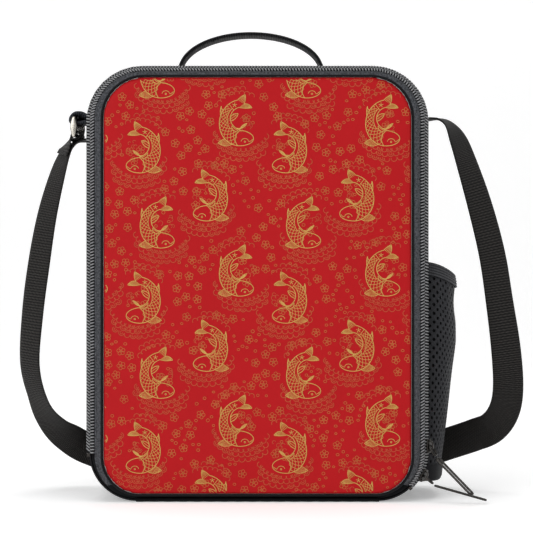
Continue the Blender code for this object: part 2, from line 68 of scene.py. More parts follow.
SWEEP_GLOW = 0.28
AIR_GLOW = 0.40
AIM = Vector((0, 0, 0.14))

camera = bpy.data.objects.new("camera", bpy.data.cameras.new("camera"))
camera.data.lens = CAMERA_LENS
camera.data.sensor_width = 36.0
camera.location = CAMERA_PLACE
camera.rotation_euler = (radians(90.0), 0.0, 0.0)
bpy.context.scene.collection.objects.link(camera)
bpy.context.scene.camera = camera
bpy.context.scene.view_settings.view_transform = "Standard"

bpy.ops.object.select_all(action="DESELECT")
bpy.ops.mesh.primitive_plane_add(size=1.0)
sweep = bpy.context.object
sweep.name = "studio_sweep"
bpy.ops.object.mode_set(mode="EDIT")
bpy.ops.transform.resize(value=(SWEEP_WIDTH, 2 * SWEEP_DEPTH, 1.0))
bpy.ops.mesh.select_all(action="DESELECT")
bpy.ops.object.mode_set(mode="OBJECT")
for edge in sweep.data.edges:
    edge.select = all(sweep.data.vertices[index].co.y > 0 for index in edge.vertices)
bpy.ops.object.mode_set(mode="EDIT")
bpy.ops.mesh.select_mode(type="EDGE")
bpy.ops.mesh.extrude_region_move(TRANSFORM_OT_translate={"value": (0.0, 0.0, SWEEP_HEIGHT)})
bpy.ops.object.mode_set(mode="OBJECT")
curve_of_sweep = sweep.modifiers.new("bend", "BEVEL")
curve_of_sweep.width = SWEEP_BEND
curve_of_sweep.segments = 24
bpy.ops.object.modifier_apply(modifier="bend")
sweep.data.shade_smooth()
sweep_paint = bpy.data.materials.new("studio_white")
sweep_paint.use_nodes = True
for socket, setting in (
    ("Base Color", (0.93, 0.93, 0.93, 1.0)),
    ("Roughness", 0.9),
    ("Emission Color", (1.0, 1.0, 1.0, 1.0)),
    ("Emission Strength", SWEEP_GLOW),
):
    sweep_paint.node_tree.nodes["Principled BSDF"].inputs[socket].default_value = setting
sweep.data.materials.append(sweep_paint)

LIGHTS = (
    ("light_left", (-1.3, -1.5, 1.0), 1.5, 18.0),
    ("light_right", (1.5, -1.2, 0.9), 1.2, 3.0),
    ("light_above", (0.0, -0.2, 1.9), 1.6, 14.0),
)
for name, place, size, power in LIGHTS:
    light = bpy.data.objects.new(name, bpy.data.lights.new(name, "AREA"))
    light.data.size = size
    light.data.energy = power
    light.location = place
    light.rotation_euler = (AIM - Vector(place)).to_track_quat("-Z", "Y").to_euler()
    bpy.context.scene.collection.objects.link(light)
world = bpy.data.worlds.new("studio_air")
world.use_nodes = True
world.node_tree.nodes["Background"].inputs["Color"].default_value = (1.0, 1.0, 1.0, 1)
world.node_tree.nodes["Background"].inputs["Strength"].default_value = AIR_GLOW
bpy.context.scene.world = world


# ------------------------------------------------------------------------------------------------
# Lid panel: red woven polyester over a foam sheet, cut to the bag's front with round corners.
# The foam is heat-pressed, so the face is a low smooth crown that falls away at the piped edge.
# ------------------------------------------------------------------------------------------------
class Value:
    """A socket of a finish, so that shader maths is written as ordinary sums."""

    def __init__(self, finish, socket):
        self.finish = finish
        self.socket = socket

    def math(self, operation, *others):
        return self.finish.node("ShaderNodeMath", {"operation": operation}, self, *others)

    def __add__(self, other):
        return self.math("ADD", other)

    def __sub__(self, other):
        return self.math("SUBTRACT", other)

    def __rsub__(self, other):
        return (self * -1.0).math("ADD", other)

    def __mul__(self, other):
        return self.math("MULTIPLY", other)

    __radd__ = __add__
    __rmul__ = __mul__

    def sine(self):
        return self.math("SINE")

    def size(self):
        return self.math("ABSOLUTE")

    def least(self, other):
        return self.math("MINIMUM", other)


class Finish:
    """A material of the bag, with the few node recipes that its cloths and metals share."""

    def __init__(self, name, colour, roughness, **sockets):
        self.material = bpy.data.materials.new(name)
        self.material.use_nodes = True
        self.tree = self.material.node_tree
        self.shader = self.tree.nodes["Principled BSDF"]
        self.shader.inputs["Base Color"].default_value = (*colour, 1.0)
        self.shader.inputs["Roughness"].default_value = roughness
        for socket, number in sockets.items():
            self.shader.inputs[socket.replace("_", " ")].default_value = number

    def node(self, kind, settings, *values, output=0, **named):
        made = self.tree.nodes.new(kind)
        for key, setting in settings.items():
            setattr(made, key, setting)
        for key, value in [*enumerate(values), *named.items()]:
            socket = made.inputs[key.replace("_", " ") if isinstance(key, str) else key]
            if isinstance(value, Value):
                self.tree.links.new(value.socket, socket)
            else:
                socket.default_value = value
        return Value(self, made.outputs[output])

    def place(self, source="Object"):
        """The piece's own coordinates: Object in metres, or UV as laid along a band."""
        made = self.tree.nodes.new("ShaderNodeTexCoord")
        return Value(self, made.outputs[source])

    def axes(self, vector):
        made = self.tree.nodes.new("ShaderNodeSeparateXYZ")
        self.tree.links.new(vector.socket, made.inputs[0])
        return [Value(self, made.outputs[index]) for index in range(3)]

    def cloud(self, vector, scale, detail=2.0):
        return self.node("ShaderNodeTexNoise", {}, Vector=vector, Scale=scale, Detail=detail)

    def paint(self, factor, dark, light):
        """The base colour runs from dark to light as the factor runs from 0 to 1."""
        mixed = self.node("ShaderNodeMix", {"data_type": "RGBA"}, Factor=factor, output=2)
        mixed.socket.node.inputs[6].default_value = (*dark, 1.0)
        mixed.socket.node.inputs[7].default_value = (*light, 1.0)
        self.tree.links.new(mixed.socket, self.shader.inputs["Base Color"])

    def feed(self, socket, value):
        self.tree.links.new(value.socket, self.shader.inputs[socket])

    def relief(self, height, distance, strength=1.0):
        """Bump from a height that runs from 0 to 1, over a distance in metres."""
        bump = self.node("ShaderNodeBump", {}, Strength=strength, Distance=distance, Height=height)
        self.feed("Normal", bump)


def take(piece):
    """Selects one piece alone and makes it the active one."""
    bpy.ops.object.select_all(action="DESELECT")
    bpy.context.view_layer.objects.active = piece
    piece.select_set(True)


def apply(piece, kind, **settings):
    """Adds one modifier to a piece and applies it, as from the modifier tab."""
    take(piece)
    modifier = piece.modifiers.new(kind.lower(), kind)
    for key, setting in settings.items():
        setattr(modifier, key, setting)
    if kind == "SUBSURF":
        modifier.render_levels = modifier.levels
    bpy.ops.object.modifier_apply(modifier=modifier.name)
    return piece


def dress(piece, finish, body, slot_name, *nodes):
    """Gives a finished piece its material and body, and hides the CAD nodes it stands for. Its slot name is
    not used. A piece given no body is left unattached."""
    piece.data.materials.clear()
    piece.data.materials.append(finish.material)
    if body:
        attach(piece, body)
    if nodes:
        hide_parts(*nodes)
    return piece


def round_slab(name, low, high, top_radius, base_radius, cell):
    """A slab with the bag's rounded outline, remeshed in even cells so that it can swell."""
    bpy.ops.object.select_all(action="DESELECT")
    middle = ((low[0] + high[0]) / 2, low[1], (low[2] + high[2]) / 2)
    bpy.ops.mesh.primitive_plane_add(size=1.0, location=middle, rotation=(radians(90.0), 0.0, 0.0))
    piece = bpy.context.object
    piece.name = name
    piece.scale = (high[0] - low[0], high[2] - low[2], 1.0)
    bpy.ops.object.transform_apply(location=True, rotation=True, scale=True)
    for radius, level in ((top_radius, high[2]), (base_radius, low[2])):
        bpy.ops.object.mode_set(mode="EDIT")
        bpy.ops.mesh.select_mode(type="VERT")
        bpy.ops.mesh.select_all(action="DESELECT")
        bpy.ops.object.mode_set(mode="OBJECT")
        for vertex in piece.data.vertices:
            vertex.select = abs(vertex.co.z - level) < 1e-5
        bpy.ops.object.mode_set(mode="EDIT")
        bpy.ops.mesh.bevel(offset=radius, segments=14, affect="VERTICES")
        bpy.ops.object.mode_set(mode="OBJECT")
    bpy.ops.object.mode_set(mode="EDIT")
    bpy.ops.mesh.select_all(action="SELECT")
    bpy.ops.mesh.extrude_region_move(TRANSFORM_OT_translate={"value": (0.0, high[1] - low[1], 0.0)})
    bpy.ops.mesh.select_all(action="SELECT")
    bpy.ops.mesh.normals_make_consistent(inside=False)
    bpy.ops.object.mode_set(mode="OBJECT")
    apply(piece, "REMESH", mode="VOXEL", voxel_size=cell, adaptivity=0.0)
    apply(piece, "SMOOTH", factor=0.5, iterations=3)
    piece.data.shade_smooth()
    return piece


def crown(piece, low, high, swell, side, creases=0.0):
    """Swells one broad face of a slab along Y, full in the middle and nothing at the edge."""
    middle_x, half_x = (low[0] + high[0]) / 2, (high[0] - low[0]) / 2
    middle_z, half_z = (low[2] + high[2]) / 2, (high[2] - low[2]) / 2
    base = low[1] if side < 0 else high[1]
    depth = high[1] - low[1]
    for vertex in piece.data.vertices:
        across = min(1.0, abs(vertex.co.x - middle_x) / half_x)
        upright = min(1.0, abs(vertex.co.z - middle_z) / half_z)
        share = (1 - across**5) * (1 - upright**6)
        face = max(0.0, 1 - abs(vertex.co.y - base) / depth)
        ripple = noise.noise(Vector((vertex.co.x * 16, 3.1, vertex.co.z * 11))) * creases
        ripple += noise.noise(Vector((vertex.co.x * 48, 7.7, vertex.co.z * 36))) * creases * 0.35
        vertex.co.y += side * face * share * (swell + ripple)


def woven(finish, scale, depth, shine=0.0):
    """Plain weave on object coordinates: over and under threads on all three planes."""
    x, y, z = finish.axes(finish.place())
    warp = ((x + y * 0.7) * scale).sine() * (z * scale).sine()
    fuzz = finish.cloud(finish.place(), scale * 0.6, 3.0)
    finish.relief(warp * 0.35 + fuzz, depth, 0.8)
    return warp * 0.5 + 0.5, fuzz


def inflate(piece, held, pressure, most):
    """Blows a held slab of cloth up from inside in a cloth simulation, then scales the rise to its most.
    The points that held(point) picks are sewn down and stay where they are."""
    rest = [vertex.co.copy() for vertex in piece.data.vertices]
    group = piece.vertex_groups.new(name="sewn_down")
    sewn = [vertex.index for vertex in piece.data.vertices if held(vertex.co)]
    group.add(sewn, 1.0, "REPLACE")
    cloth = piece.modifiers.new("cloth", "CLOTH")
    cloth.settings.quality = 4
    cloth.settings.mass = 0.25
    cloth.settings.tension_stiffness = 18.0
    cloth.settings.compression_stiffness = 18.0
    cloth.settings.bending_stiffness = 0.6
    cloth.settings.vertex_group_mass = group.name
    cloth.settings.use_pressure = True
    cloth.settings.uniform_pressure_force = pressure
    cloth.settings.effector_weights.gravity = 0.0
    cloth.point_cache.frame_start = 1
    cloth.point_cache.frame_end = CLOTH_FRAMES
    for frame_number in range(1, CLOTH_FRAMES + 1):
        bpy.context.scene.frame_set(frame_number)
    blown = piece.evaluated_get(bpy.context.evaluated_depsgraph_get()).to_mesh()
    moves = [point.co - start for point, start in zip(blown.vertices, rest)]
    piece.modifiers.remove(cloth)
    piece.vertex_groups.remove(group)
    scale = min(1.0, most / max(max(move.length for move in moves), 1e-9))
    for vertex, start, move in zip(piece.data.vertices, rest, moves):
        vertex.co = start + move * scale
    bpy.context.scene.frame_set(1)
    return piece


CLOTH_FRAMES = 10
SEWN_RIM = 0.0035
SEWN_BACK = 0.0020
panel_low, panel_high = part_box("lid_outer_panel")
PANEL_SWELL = 0.0022
PANEL_TOP_RADIUS = 0.0266
PANEL_BASE_RADIUS = 0.0238
PANEL_CELL = 0.0020
PANEL_DEPTH = 0.0032
PANEL_PRESSURE = 4.0
PANEL_CREASE = 0.0006


panel_cloth = Finish(
    "red_polyester", (0.43, 0.0040, 0.0070), 0.62, Sheen_Weight=0.02, Specular_IOR_Level=0.16
)
weave, fuzz = woven(panel_cloth, 7200.0, 0.00005)
tone = panel_cloth.cloud(panel_cloth.place(), 26.0, 3.0)
panel_cloth.paint(tone * 0.7 + weave * 0.3, (0.39, 0.0030, 0.0058), (0.465, 0.0052, 0.0085))

panel_back = (panel_high[0], panel_high[1] + PANEL_DEPTH, panel_high[2])


def panel_is_sewn(point):
    """The panel's back, and the rim that the piping holds."""
    beside = min(point.x - panel_low.x, panel_high.x - point.x)
    near = min(beside, point.z - panel_low.z, panel_high.z - point.z)
    return near < SEWN_RIM or point.y > panel_low.y + SEWN_BACK


lid_panel = round_slab("lid_panel", panel_low, panel_back, PANEL_TOP_RADIUS, PANEL_BASE_RADIUS, PANEL_CELL)
inflate(lid_panel, panel_is_sewn, PANEL_PRESSURE, PANEL_SWELL)
crown(lid_panel, panel_low, panel_back, 0.0, -1, PANEL_CREASE)
dress(lid_panel, panel_cloth, "lid", "printed_cloth", "lid_outer_panel")


# ------------------------------------------------------------------------------------------------
# Print on the panel: gold carp with net-like scales, swirling water round them, and small blossoms.
# Screen-printed ink that lies on the cloth, drawn as fine raised lines that follow its face.
# ------------------------------------------------------------------------------------------------
GOLD_LINE = 0.00050
FINE_LINE = 0.00038
SCALE_LINE = 0.00029
WATER_LINE = 0.00050
INK_RISE = 0.00007
PRINT_MARGIN = 0.0010
CARP_NECK = 0.17
CARP_SNOUT = (-0.0112, -0.0118)
CARP_EYE = (-0.0057, -0.0134)
CARP_RADIUS = 0.0108
CARP_HEAD_ANGLE = radians(-112.0)
CARP_TURN = radians(190.0)
CARP_WIDTHS = (0.0044, 0.0046, 0.0049, 0.0050, 0.0047, 0.0041, 0.0035, 0.0030, 0.0026, 0.0024, 0.0023)
TILE_X = 0.0935
TILE_Z = 0.0960
BLOSSOM_TRIES = 1500
DOT_TRIES = 3700
INK_FLATTEN = 0.30

panel_tree = BVHTree.FromObject(lid_panel, bpy.context.evaluated_depsgraph_get())


def on_panel(x, z):
    """True where the ink would be on the panel, inside its rounded edge."""
    left, right = panel_low.x + PRINT_MARGIN, panel_high.x - PRINT_MARGIN
    low, high = panel_low.z + PRINT_MARGIN, panel_high.z - PRINT_MARGIN
    if not (left < x < right and low < z < high):
        return False
    radius = PANEL_TOP_RADIUS if z > (low + high) / 2 else PANEL_BASE_RADIUS
    over_x = max(0.0, radius - min(x - left, right - x))
    over_z = max(0.0, radius - (min(z - low, high - z)))
    return over_x * over_x + over_z * over_z < radius * radius


def body_point(along, across):
    """A point on the carp: along runs from the cheek (0) to the tail root (1), across from -1 on its
    hollow side to 1 on its outer side."""
    angle = CARP_HEAD_ANGLE + CARP_TURN * along
    place = min(max(along, 0.0), 0.9999) * (len(CARP_WIDTHS) - 1)
    index = int(place)
    width = CARP_WIDTHS[index] + (CARP_WIDTHS[index + 1] - CARP_WIDTHS[index]) * (place - index)
    reach = CARP_RADIUS + across * width
    return (reach * cos(angle) - 0.0038, reach * sin(angle) * 1.04)


def arc(centre, radius, begin, end, steps, flat=1.0):
    """Points on an arc, with angles in degrees."""
    made = []
    for step in range(steps + 1):
        angle = radians(begin + (end - begin) * step / steps)
        made.append((centre[0] + radius * cos(angle), centre[1] + flat * radius * sin(angle)))
    return made


def bow(start, end, bend, steps=6):
    """A line from start to end that bows sideways by a share of its length."""
    made = []
    for step in range(steps + 1):
        share = step / steps
        off = bend * 4 * share * (1 - share)
        dx, dz = end[0] - start[0], end[1] - start[1]
        made.append((start[0] + dx * share - dz * off, start[1] + dz * share + dx * off))
    return made


def fin(root_a, root_b, tip, bend_a, bend_b, rays):
    """A fin: two bowed edges from its root to its tip, and rays between them."""
    first, last = bow(root_a, tip, bend_a), bow(root_b, tip, bend_b)
    lines = [(first, GOLD_LINE), (last, GOLD_LINE)]
    for ray in range(1, rays + 1):
        share = ray / (rays + 1)
        line = []
        for a, b in zip(first[:-1], last[:-1]):
            line.append((a[0] + (b[0] - a[0]) * share, a[1] + (b[1] - a[1]) * share))
        lines.append((line, FINE_LINE * 0.85))
    return lines


def draw_carp():
    """All the gold lines of one carp, as (points, line width)."""
    lines = []
    for across in (1.0, -1.0):
        edge = [body_point(CARP_NECK + (1 - CARP_NECK) * step / 20, across) for step in range(21)]
        lines.append((edge, GOLD_LINE))
    brow, chin = body_point(CARP_NECK, -1.0), body_point(CARP_NECK, 1.0)
    middle = ((brow[0] + chin[0]) / 2, (brow[1] + chin[1]) / 2)
    head = []
    for step in range(17):
        angle = pi * step / 16
        point = []
        for at, side, front in zip(middle, brow, CARP_SNOUT):
            point.append(at + (side - at) * cos(angle) + (front - at) * sin(angle))
        head.append(tuple(point))
    lines.append((head, GOLD_LINE))
    lines.append((bow(brow, chin, 0.24, 8), GOLD_LINE * 0.9))
    lines.append((arc(CARP_EYE, 0.00050, 0, 360, 8), FINE_LINE))
    lines.append((arc(CARP_EYE, 0.00240, 5, 170, 9, 0.85), FINE_LINE))
    cheek = (CARP_EYE[0] - 0.0024, CARP_EYE[1])
    lip = (CARP_SNOUT[0] + 0.0006, CARP_SNOUT[1])
    lines.append((bow(cheek, lip, 0.10, 4), FINE_LINE))
    columns, rows = 11, 3
    for column in range(-rows, columns + 1):
        for lean in (1, -1):
            line = []
            for step in range(rows * 2 + 1):
                across = -1.0 + 2.0 * step / (rows * 2)
                offset = (step if lean > 0 else rows * 2 - step) / 2
                along = 0.18 + 0.68 * (column + offset) / columns
                limit_in = -0.40 if along > 0.40 else -0.75
                if 0.20 < along < 0.85 and across >= limit_in:
                    line.append(body_point(along, across))
                    continue
                if len(line) > 1:
                    lines.append((line, SCALE_LINE))
                line = []
            if len(line) > 1:
                lines.append((line, SCALE_LINE))
    lines.append(([body_point(0.40 + 0.46 * step / 10, -0.42) for step in range(11)], FINE_LINE))
    band = [body_point(0.86, -1.0 + 0.25 * step) for step in range(9)]
    lines.append((band, FINE_LINE))
    petals = body_point(0.93, 0.0)
    for petal in range(5):
        angle = radians(72 * petal + 20)
        tip = (petals[0] + 0.0016 * cos(angle), petals[1] + 0.0016 * sin(angle))
        lines.append(([petals, tip], FINE_LINE))
    for reach in (0.0, 0.30):
        crest = [body_point(0.22 + 0.24 * step / 8, -0.86 + reach * sin(pi * step / 8)) for step in range(9)]
        lines.append((crest, FINE_LINE))
    lines += fin(body_point(0.19, -1.0), body_point(0.32, -1.0), (-0.0070, -0.0016), -0.14, 0.20, 3)
    lines += fin(body_point(0.24, 1.0), body_point(0.35, 1.0), (0.0114, -0.0142), -0.16, 0.06, 5)
    lines += fin(body_point(0.66, 1.0), body_point(0.74, 1.0), (0.0094, 0.0094), -0.06, -0.16, 1)
    lines += fin(body_point(0.58, -1.0), body_point(0.68, -1.0), (-0.0014, 0.0046), 0.14, -0.14, 1)
    root_out, root_in = body_point(1.0, 1.0), body_point(1.0, -1.0)
    fork = (root_in[0] - 0.0030, root_in[1] + 0.0022)
    lines += fin(root_out, fork, (-0.0058, 0.0168), -0.06, 0.10, 4)
    lines += fin(root_in, fork, (-0.0102, 0.0084), 0.06, -0.16, 4)
    return lines


def draw_water(seed):
    """Rows of small scallops that follow the carp's outer side, like ripples in water."""
    ripples = random.Random(seed)
    lines = []
    for reach, begin, end in ((0.0185, -150, -20), (0.0215, -138, -35), (0.0248, -128, -58)):
        angle = begin + ripples.uniform(0, 6)
        while angle < end:
            step = 9.0 + ripples.uniform(-1.0, 1.5)
            centre = (reach * cos(radians(angle)) - 0.0038, reach * sin(radians(angle)) * 0.98)
            lines.append((arc(centre, 0.00185, angle - 105, angle + 105, 7), WATER_LINE))
            if ripples.random() < 0.45:
                lines.append((arc(centre, 0.00085, angle - 150, angle + 120, 6), WATER_LINE * 0.9))
            angle += step
    for reach, angle, end in ((0.0175, 40, 118), (0.0205, 52, 104)):
        while angle < end:
            centre = (reach * cos(radians(angle)) - 0.0030, reach * sin(radians(angle)))
            lines.append((arc(centre, 0.0018, angle - 100, angle + 100, 6), WATER_LINE * 0.9))
            angle += 10.5
    for _ in range(7):
        centre = (ripples.uniform(-0.0105, -0.002), ripples.uniform(-0.0045, 0.0045))
        lines.append((arc(centre, ripples.uniform(0.0009, 0.0016), 20, 250, 6), WATER_LINE * 0.8))
    return lines


def draw_blossom(centre, size, turn):
    """Five open petals round a point, each a small ring."""
    lines = []
    for petal in range(5):
        angle = turn + 2 * pi * petal / 5
        middle = (centre[0] + 0.60 * size * cos(angle), centre[1] + 0.60 * size * sin(angle))
        begin = 180 + atan2(sin(angle), cos(angle)) * 180 / pi
        lines.append((arc(middle, 0.38 * size, begin, begin + 360, 8), FINE_LINE * 0.95))
    lines.append((arc(centre, 0.12 * size, 0, 360, 5), FINE_LINE * 0.8))
    return lines


def draw_print():
    """The whole repeat, laid over the panel: carp lines in gold, water and blossoms in amber."""
    gold, amber, water = [], [], []
    seeds = random.Random(11)
    carp = draw_carp()
    starts = ((-0.0643, 0.1788, -1), (-0.0137, 0.1481, -1), (-0.0297, 0.1961, 1), (0.0208, 0.1308, 1))
    places = []
    for x, z, facing in starts:
        for column in range(-2, 3):
            for row in range(-2, 3):
                places.append((x + column * TILE_X, z + row * TILE_Z, facing))
    for index, (x, z, facing) in enumerate(places):
        if not (-0.13 < x < 0.13 and -0.03 < z < 0.31):
            continue
        for points, width in carp:
            gold.append(([(x + facing * px, z + pz) for px, pz in points], width))
        for points, width in draw_water(index):
            water.append(([(x + facing * px, z + pz) for px, pz in points], width))
    kept = []
    for tries in range(1, BLOSSOM_TRIES + DOT_TRIES + 1):
        x, z = seeds.uniform(panel_low.x, panel_high.x), seeds.uniform(panel_low.z, panel_high.z)
        blossom = tries < BLOSSOM_TRIES
        size = 0.0028 if blossom else 0.0011
        clear = True
        for px, pz, facing in places:
            dx, dz = (x - px) * facing + 0.0038, z - pz
            distance = (dx * dx + dz * dz) ** 0.5
            lower = -165 < atan2(dz, dx) * 180 / pi < -12
            outer = 0.0262 if lower else 0.0172
            if 0.0062 + size < distance < outer + size and not (dx < -0.004 and abs(dz) < 0.006):
                clear = False
                break
        if not clear:
            continue
        if any((x - kx) ** 2 + (z - kz) ** 2 < (size + ks + 0.0006) ** 2 for kx, kz, ks in kept):
            continue
        if not blossom and seeds.random() < 0.35:
            continue
        kept.append((x, z, size))
        if blossom:
            amber.extend(draw_blossom((x, z), size, seeds.uniform(0, 6)))
        else:
            radius = size * seeds.uniform(0.7, 1.0)
            amber.append((arc((x, z), radius, 0, 360, 7, seeds.uniform(0.7, 1)), FINE_LINE))
    return gold, amber, water


def lay_ink(name, lines, finish):
    """Turns drawn lines into fine raised strokes on the panel's own surface."""
    curve = bpy.data.curves.new(name, "CURVE")
    curve.dimensions = "3D"
    curve.bevel_depth = 1.0
    curve.bevel_resolution = 0
    for points, width in lines:
        run = []
        for point in [*points, None]:
            if point is not None and on_panel(*point):
                run.append(point)
                continue
            if len(run) > 1:
                spline = curve.splines.new("POLY")
                spline.points.add(len(run) - 1)
                for knot, (x, z) in zip(spline.points, run):
                    knot.co = (x, 0.0, z, 1.0)
                    knot.radius = width / 2
            run = []
    drawing = bpy.data.objects.new(name, curve)
    bpy.context.scene.collection.objects.link(drawing)
    take(drawing)
    bpy.ops.object.convert(target="MESH")
    ink = bpy.context.object
    for vertex in ink.data.vertices:
        hit = panel_tree.ray_cast(Vector((vertex.co.x, -0.2, vertex.co.z)), Vector((0, 1, 0)))[0]
        face = hit.y if hit else panel_low.y
        vertex.co.y = face - INK_RISE + vertex.co.y * INK_FLATTEN
    ink.data.shade_smooth()
    dress(ink, finish, "lid", "printed_cloth")
    return ink


GOLD = ((0.52, 0.290, 0.060), (0.60, 0.365, 0.085), (0.68, 0.450, 0.120))
AMBER = ((0.47, 0.075, 0.022), (0.52, 0.130, 0.030), (0.56, 0.200, 0.050))
DEEP_AMBER = ((0.46, 0.045, 0.022), (0.50, 0.085, 0.030), (0.54, 0.120, 0.036))
INKS = (
    ("print_carp", "gold_ink", GOLD, 0.50, 0.35, 900.0),
    ("print_blossom", "amber_ink", AMBER, 0.55, 0.30, 40.0),
    ("print_water", "water_ink", DEEP_AMBER, 0.58, 0.30, 55.0),
)
for lines, (print_name, ink_name, (dark, even, light), rough, gloss, mottle) in zip(draw_print(), INKS):
    ink = Finish(ink_name, even, rough, Specular_IOR_Level=gloss)
    ink.paint(ink.cloud(ink.place(), mottle, 2.0), dark, light)
    lay_ink(print_name, lines, ink)


# ------------------------------------------------------------------------------------------------
# Edge cord of the panel: a thin black piping sewn in all round, where the panel meets the zipper tape.
# Bias-cut twill over a soft cord.
# ------------------------------------------------------------------------------------------------
GAP = 0.0003
HALF_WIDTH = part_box("back_piping")[1].x
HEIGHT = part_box("back_piping")[1].z
TOP_RADIUS = 0.036
BASE_RADIUS = 0.032
SIDE_RUN = HEIGHT - TOP_RADIUS - BASE_RADIUS
TOP_RUN = 2 * (HALF_WIDTH - TOP_RADIUS)
BASE_RUN = 2 * (HALF_WIDTH - BASE_RADIUS)
TOP_ARC = TOP_RADIUS * pi / 2
BASE_ARC = BASE_RADIUS * pi / 2
RIM_RUNS = (SIDE_RUN, TOP_ARC, TOP_RUN, TOP_ARC, SIDE_RUN, BASE_ARC, BASE_RUN, BASE_ARC)
RIM_LENGTH = sum(RIM_RUNS)
FRONT = panel_low.y
TOP_SHARE = 0.64
BASE_SHARE = 0.40
CORD_RADIUS = 0.00080
CORD_IN = 0.0094


def rim(run, side, top, bottom):
    """The point and outward direction on the bag's outline, moved in by its own inset on the sides,
    top and bottom. The run is a length along the outline: up the left side, over the top, and down."""
    half, high, low = HALF_WIDTH - side, HEIGHT - top, bottom
    top_radius = TOP_RADIUS - (side + top) / 2
    base_radius = BASE_RADIUS - (side + bottom) / 2
    corners = (
        (-half + top_radius, high - top_radius, top_radius, pi),
        (half - top_radius, high - top_radius, top_radius, pi / 2),
        (half - base_radius, low + base_radius, base_radius, 0.0),
        (-half + base_radius, low + base_radius, base_radius, -pi / 2),
    )
    run %= RIM_LENGTH
    index = 0
    while index < 7 and run > RIM_RUNS[index]:
        run -= RIM_RUNS[index]
        index += 1
    share = run / RIM_RUNS[index]
    x, z, radius, angle = corners[index // 2]
    if index % 2:
        angle -= share * pi / 2
        out = Vector((cos(angle), 0.0, sin(angle)))
        return Vector((x, 0.0, z)) + out * radius, out
    out = Vector((cos(angle), 0.0, sin(angle)))
    old_x, old_z, old_radius, _ = corners[index // 2 - 1]
    begin = Vector((old_x, 0.0, old_z)) + out * old_radius
    return begin.lerp(Vector((x, 0.0, z)) + out * radius, share), out


def rim_point(run, side, top, bottom, y):
    """The same point, set at depth y."""
    point, _ = rim(run, side, top, bottom)
    point.y = y
    return point


def front_band(run, width, gaps, y):
    """A point of the zipper's bands: width and gaps in from the edge, narrower along top and bottom."""
    kept = gaps * GAP
    return rim_point(run, width + kept, width * TOP_SHARE + kept, width * BASE_SHARE + kept, y)


def band(name, along, across, place, thickness=0.0, joined=False):
    """A grid laid through place(u, v), both from 0 to 1, then given its thickness inward."""
    bpy.ops.object.select_all(action="DESELECT")
    bpy.ops.mesh.primitive_grid_add(x_subdivisions=along, y_subdivisions=across, size=1.0)
    piece = bpy.context.object
    piece.name = name
    for vertex in piece.data.vertices:
        vertex.co = place(vertex.co.x + 0.5, vertex.co.y + 0.5)
    if joined:
        bpy.ops.object.mode_set(mode="EDIT")
        bpy.ops.mesh.select_all(action="SELECT")
        bpy.ops.mesh.remove_doubles(threshold=0.00002)
        bpy.ops.object.mode_set(mode="OBJECT")
    if thickness:
        apply(piece, "SOLIDIFY", thickness=thickness, offset=-1.0, use_even_offset=True)
    piece.data.shade_smooth()
    piece.data.set_sharp_from_angle(angle=radians(50.0))
    return piece


def cord_round(name, radius, centre, along, sides=10):
    """A round cord that runs right round the bag, through centre(run)."""

    def place(u, v):
        run = u * RIM_LENGTH
        _, out = rim(run, 0.0, 0.0, 0.0)
        turn = -2 * pi * v
        return centre(run) + out * radius * cos(turn) + Vector((0, -1, 0)) * radius * sin(turn)

    return band(name, along, sides, place, joined=True)


piping_cloth = Finish(
    "piping_twill", (0.0045, 0.005, 0.006), 0.70, Sheen_Weight=0.02, Specular_IOR_Level=0.14
)
u, v, _ = piping_cloth.axes(piping_cloth.place("UV"))
piping_cloth.relief((u * 5200.0 + v * 12.0).sine(), 0.00008, 0.7)


def lid_cord_centre(run):
    return front_band(run, CORD_IN, 3, FRONT + 0.0004)


lid_cord = cord_round("lid_edge_cord", CORD_RADIUS, lid_cord_centre, 480)
dress(lid_cord, piping_cloth, "lid", "edge_cord", "lid_piping")


# ------------------------------------------------------------------------------------------------
# Zipper tapes: charcoal polyester, woven with a fine herringbone. The lid's tape shows beside the
# panel; the body's tape folds over the edge of the wall and is sewn down behind the coil.
# ------------------------------------------------------------------------------------------------
BODY_ROW = 0.0027
BOTH_ROWS = 0.0052
TAPE_WIDTH = 0.0042
BODY_TAPE_WIDTH = 0.0062
BODY_TAPE_IN = 0.0005
MEET_Y = FRONT + 0.0023
LID_EDGE_Y = FRONT + 0.0007
ZIP_LENGTH = 2 * SIDE_RUN + 2 * TOP_ARC + TOP_RUN + BASE_ARC / 2
TAPE_START = -BASE_ARC / 2
WALL_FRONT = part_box("gusset_outer")[0].y
WALL_INSET = HALF_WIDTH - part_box("gusset_outer")[1].x


def tape_finish(name, length, dark, light):
    """Herringbone tape: slanting ribs that change direction in stripes, on the tape's own UV."""
    cloth = Finish(name, light, 0.72, Sheen_Weight=0.03, Specular_IOR_Level=0.14)
    along, across, _ = cloth.axes(cloth.place("UV"))
    zigzag = (across * 9.0).math("PINGPONG", 1.0)
    ribs = ((along * (length * 5200.0)) + zigzag * 6.0).sine()
    lint = cloth.cloud(cloth.place(), 800.0, 3.0)
    cloth.paint(ribs * 0.30 + lint * 2.1 - 0.55, dark, light)
    cloth.relief(ribs * 0.5 + lint * 0.5, 0.00009, 0.9)
    return cloth


def lid_tape_place(u, v):
    run = TAPE_START + (ZIP_LENGTH - TAPE_START) * u
    width = BOTH_ROWS + TAPE_WIDTH * (1 - v)
    lift = 0.0003 * sin(pi * v)
    return front_band(run, width, 2, FRONT - lift + 0.0007 * v)


tape_cloth = tape_finish("charcoal_tape", ZIP_LENGTH, (0.008, 0.009, 0.011), (0.112, 0.117, 0.130))
lid_tape = band("lid_zipper_tape", 620, 8, lid_tape_place, 0.0006)
dress(lid_tape, tape_cloth, "lid", "zipper_tape", "zipper_tape_lid")


def body_tape_place(u, v):
    y = WALL_FRONT - GAP + BODY_TAPE_WIDTH * v
    return rim_point(ZIP_LENGTH * u, BODY_TAPE_IN, BODY_TAPE_IN, BODY_TAPE_IN - WALL_INSET, y)


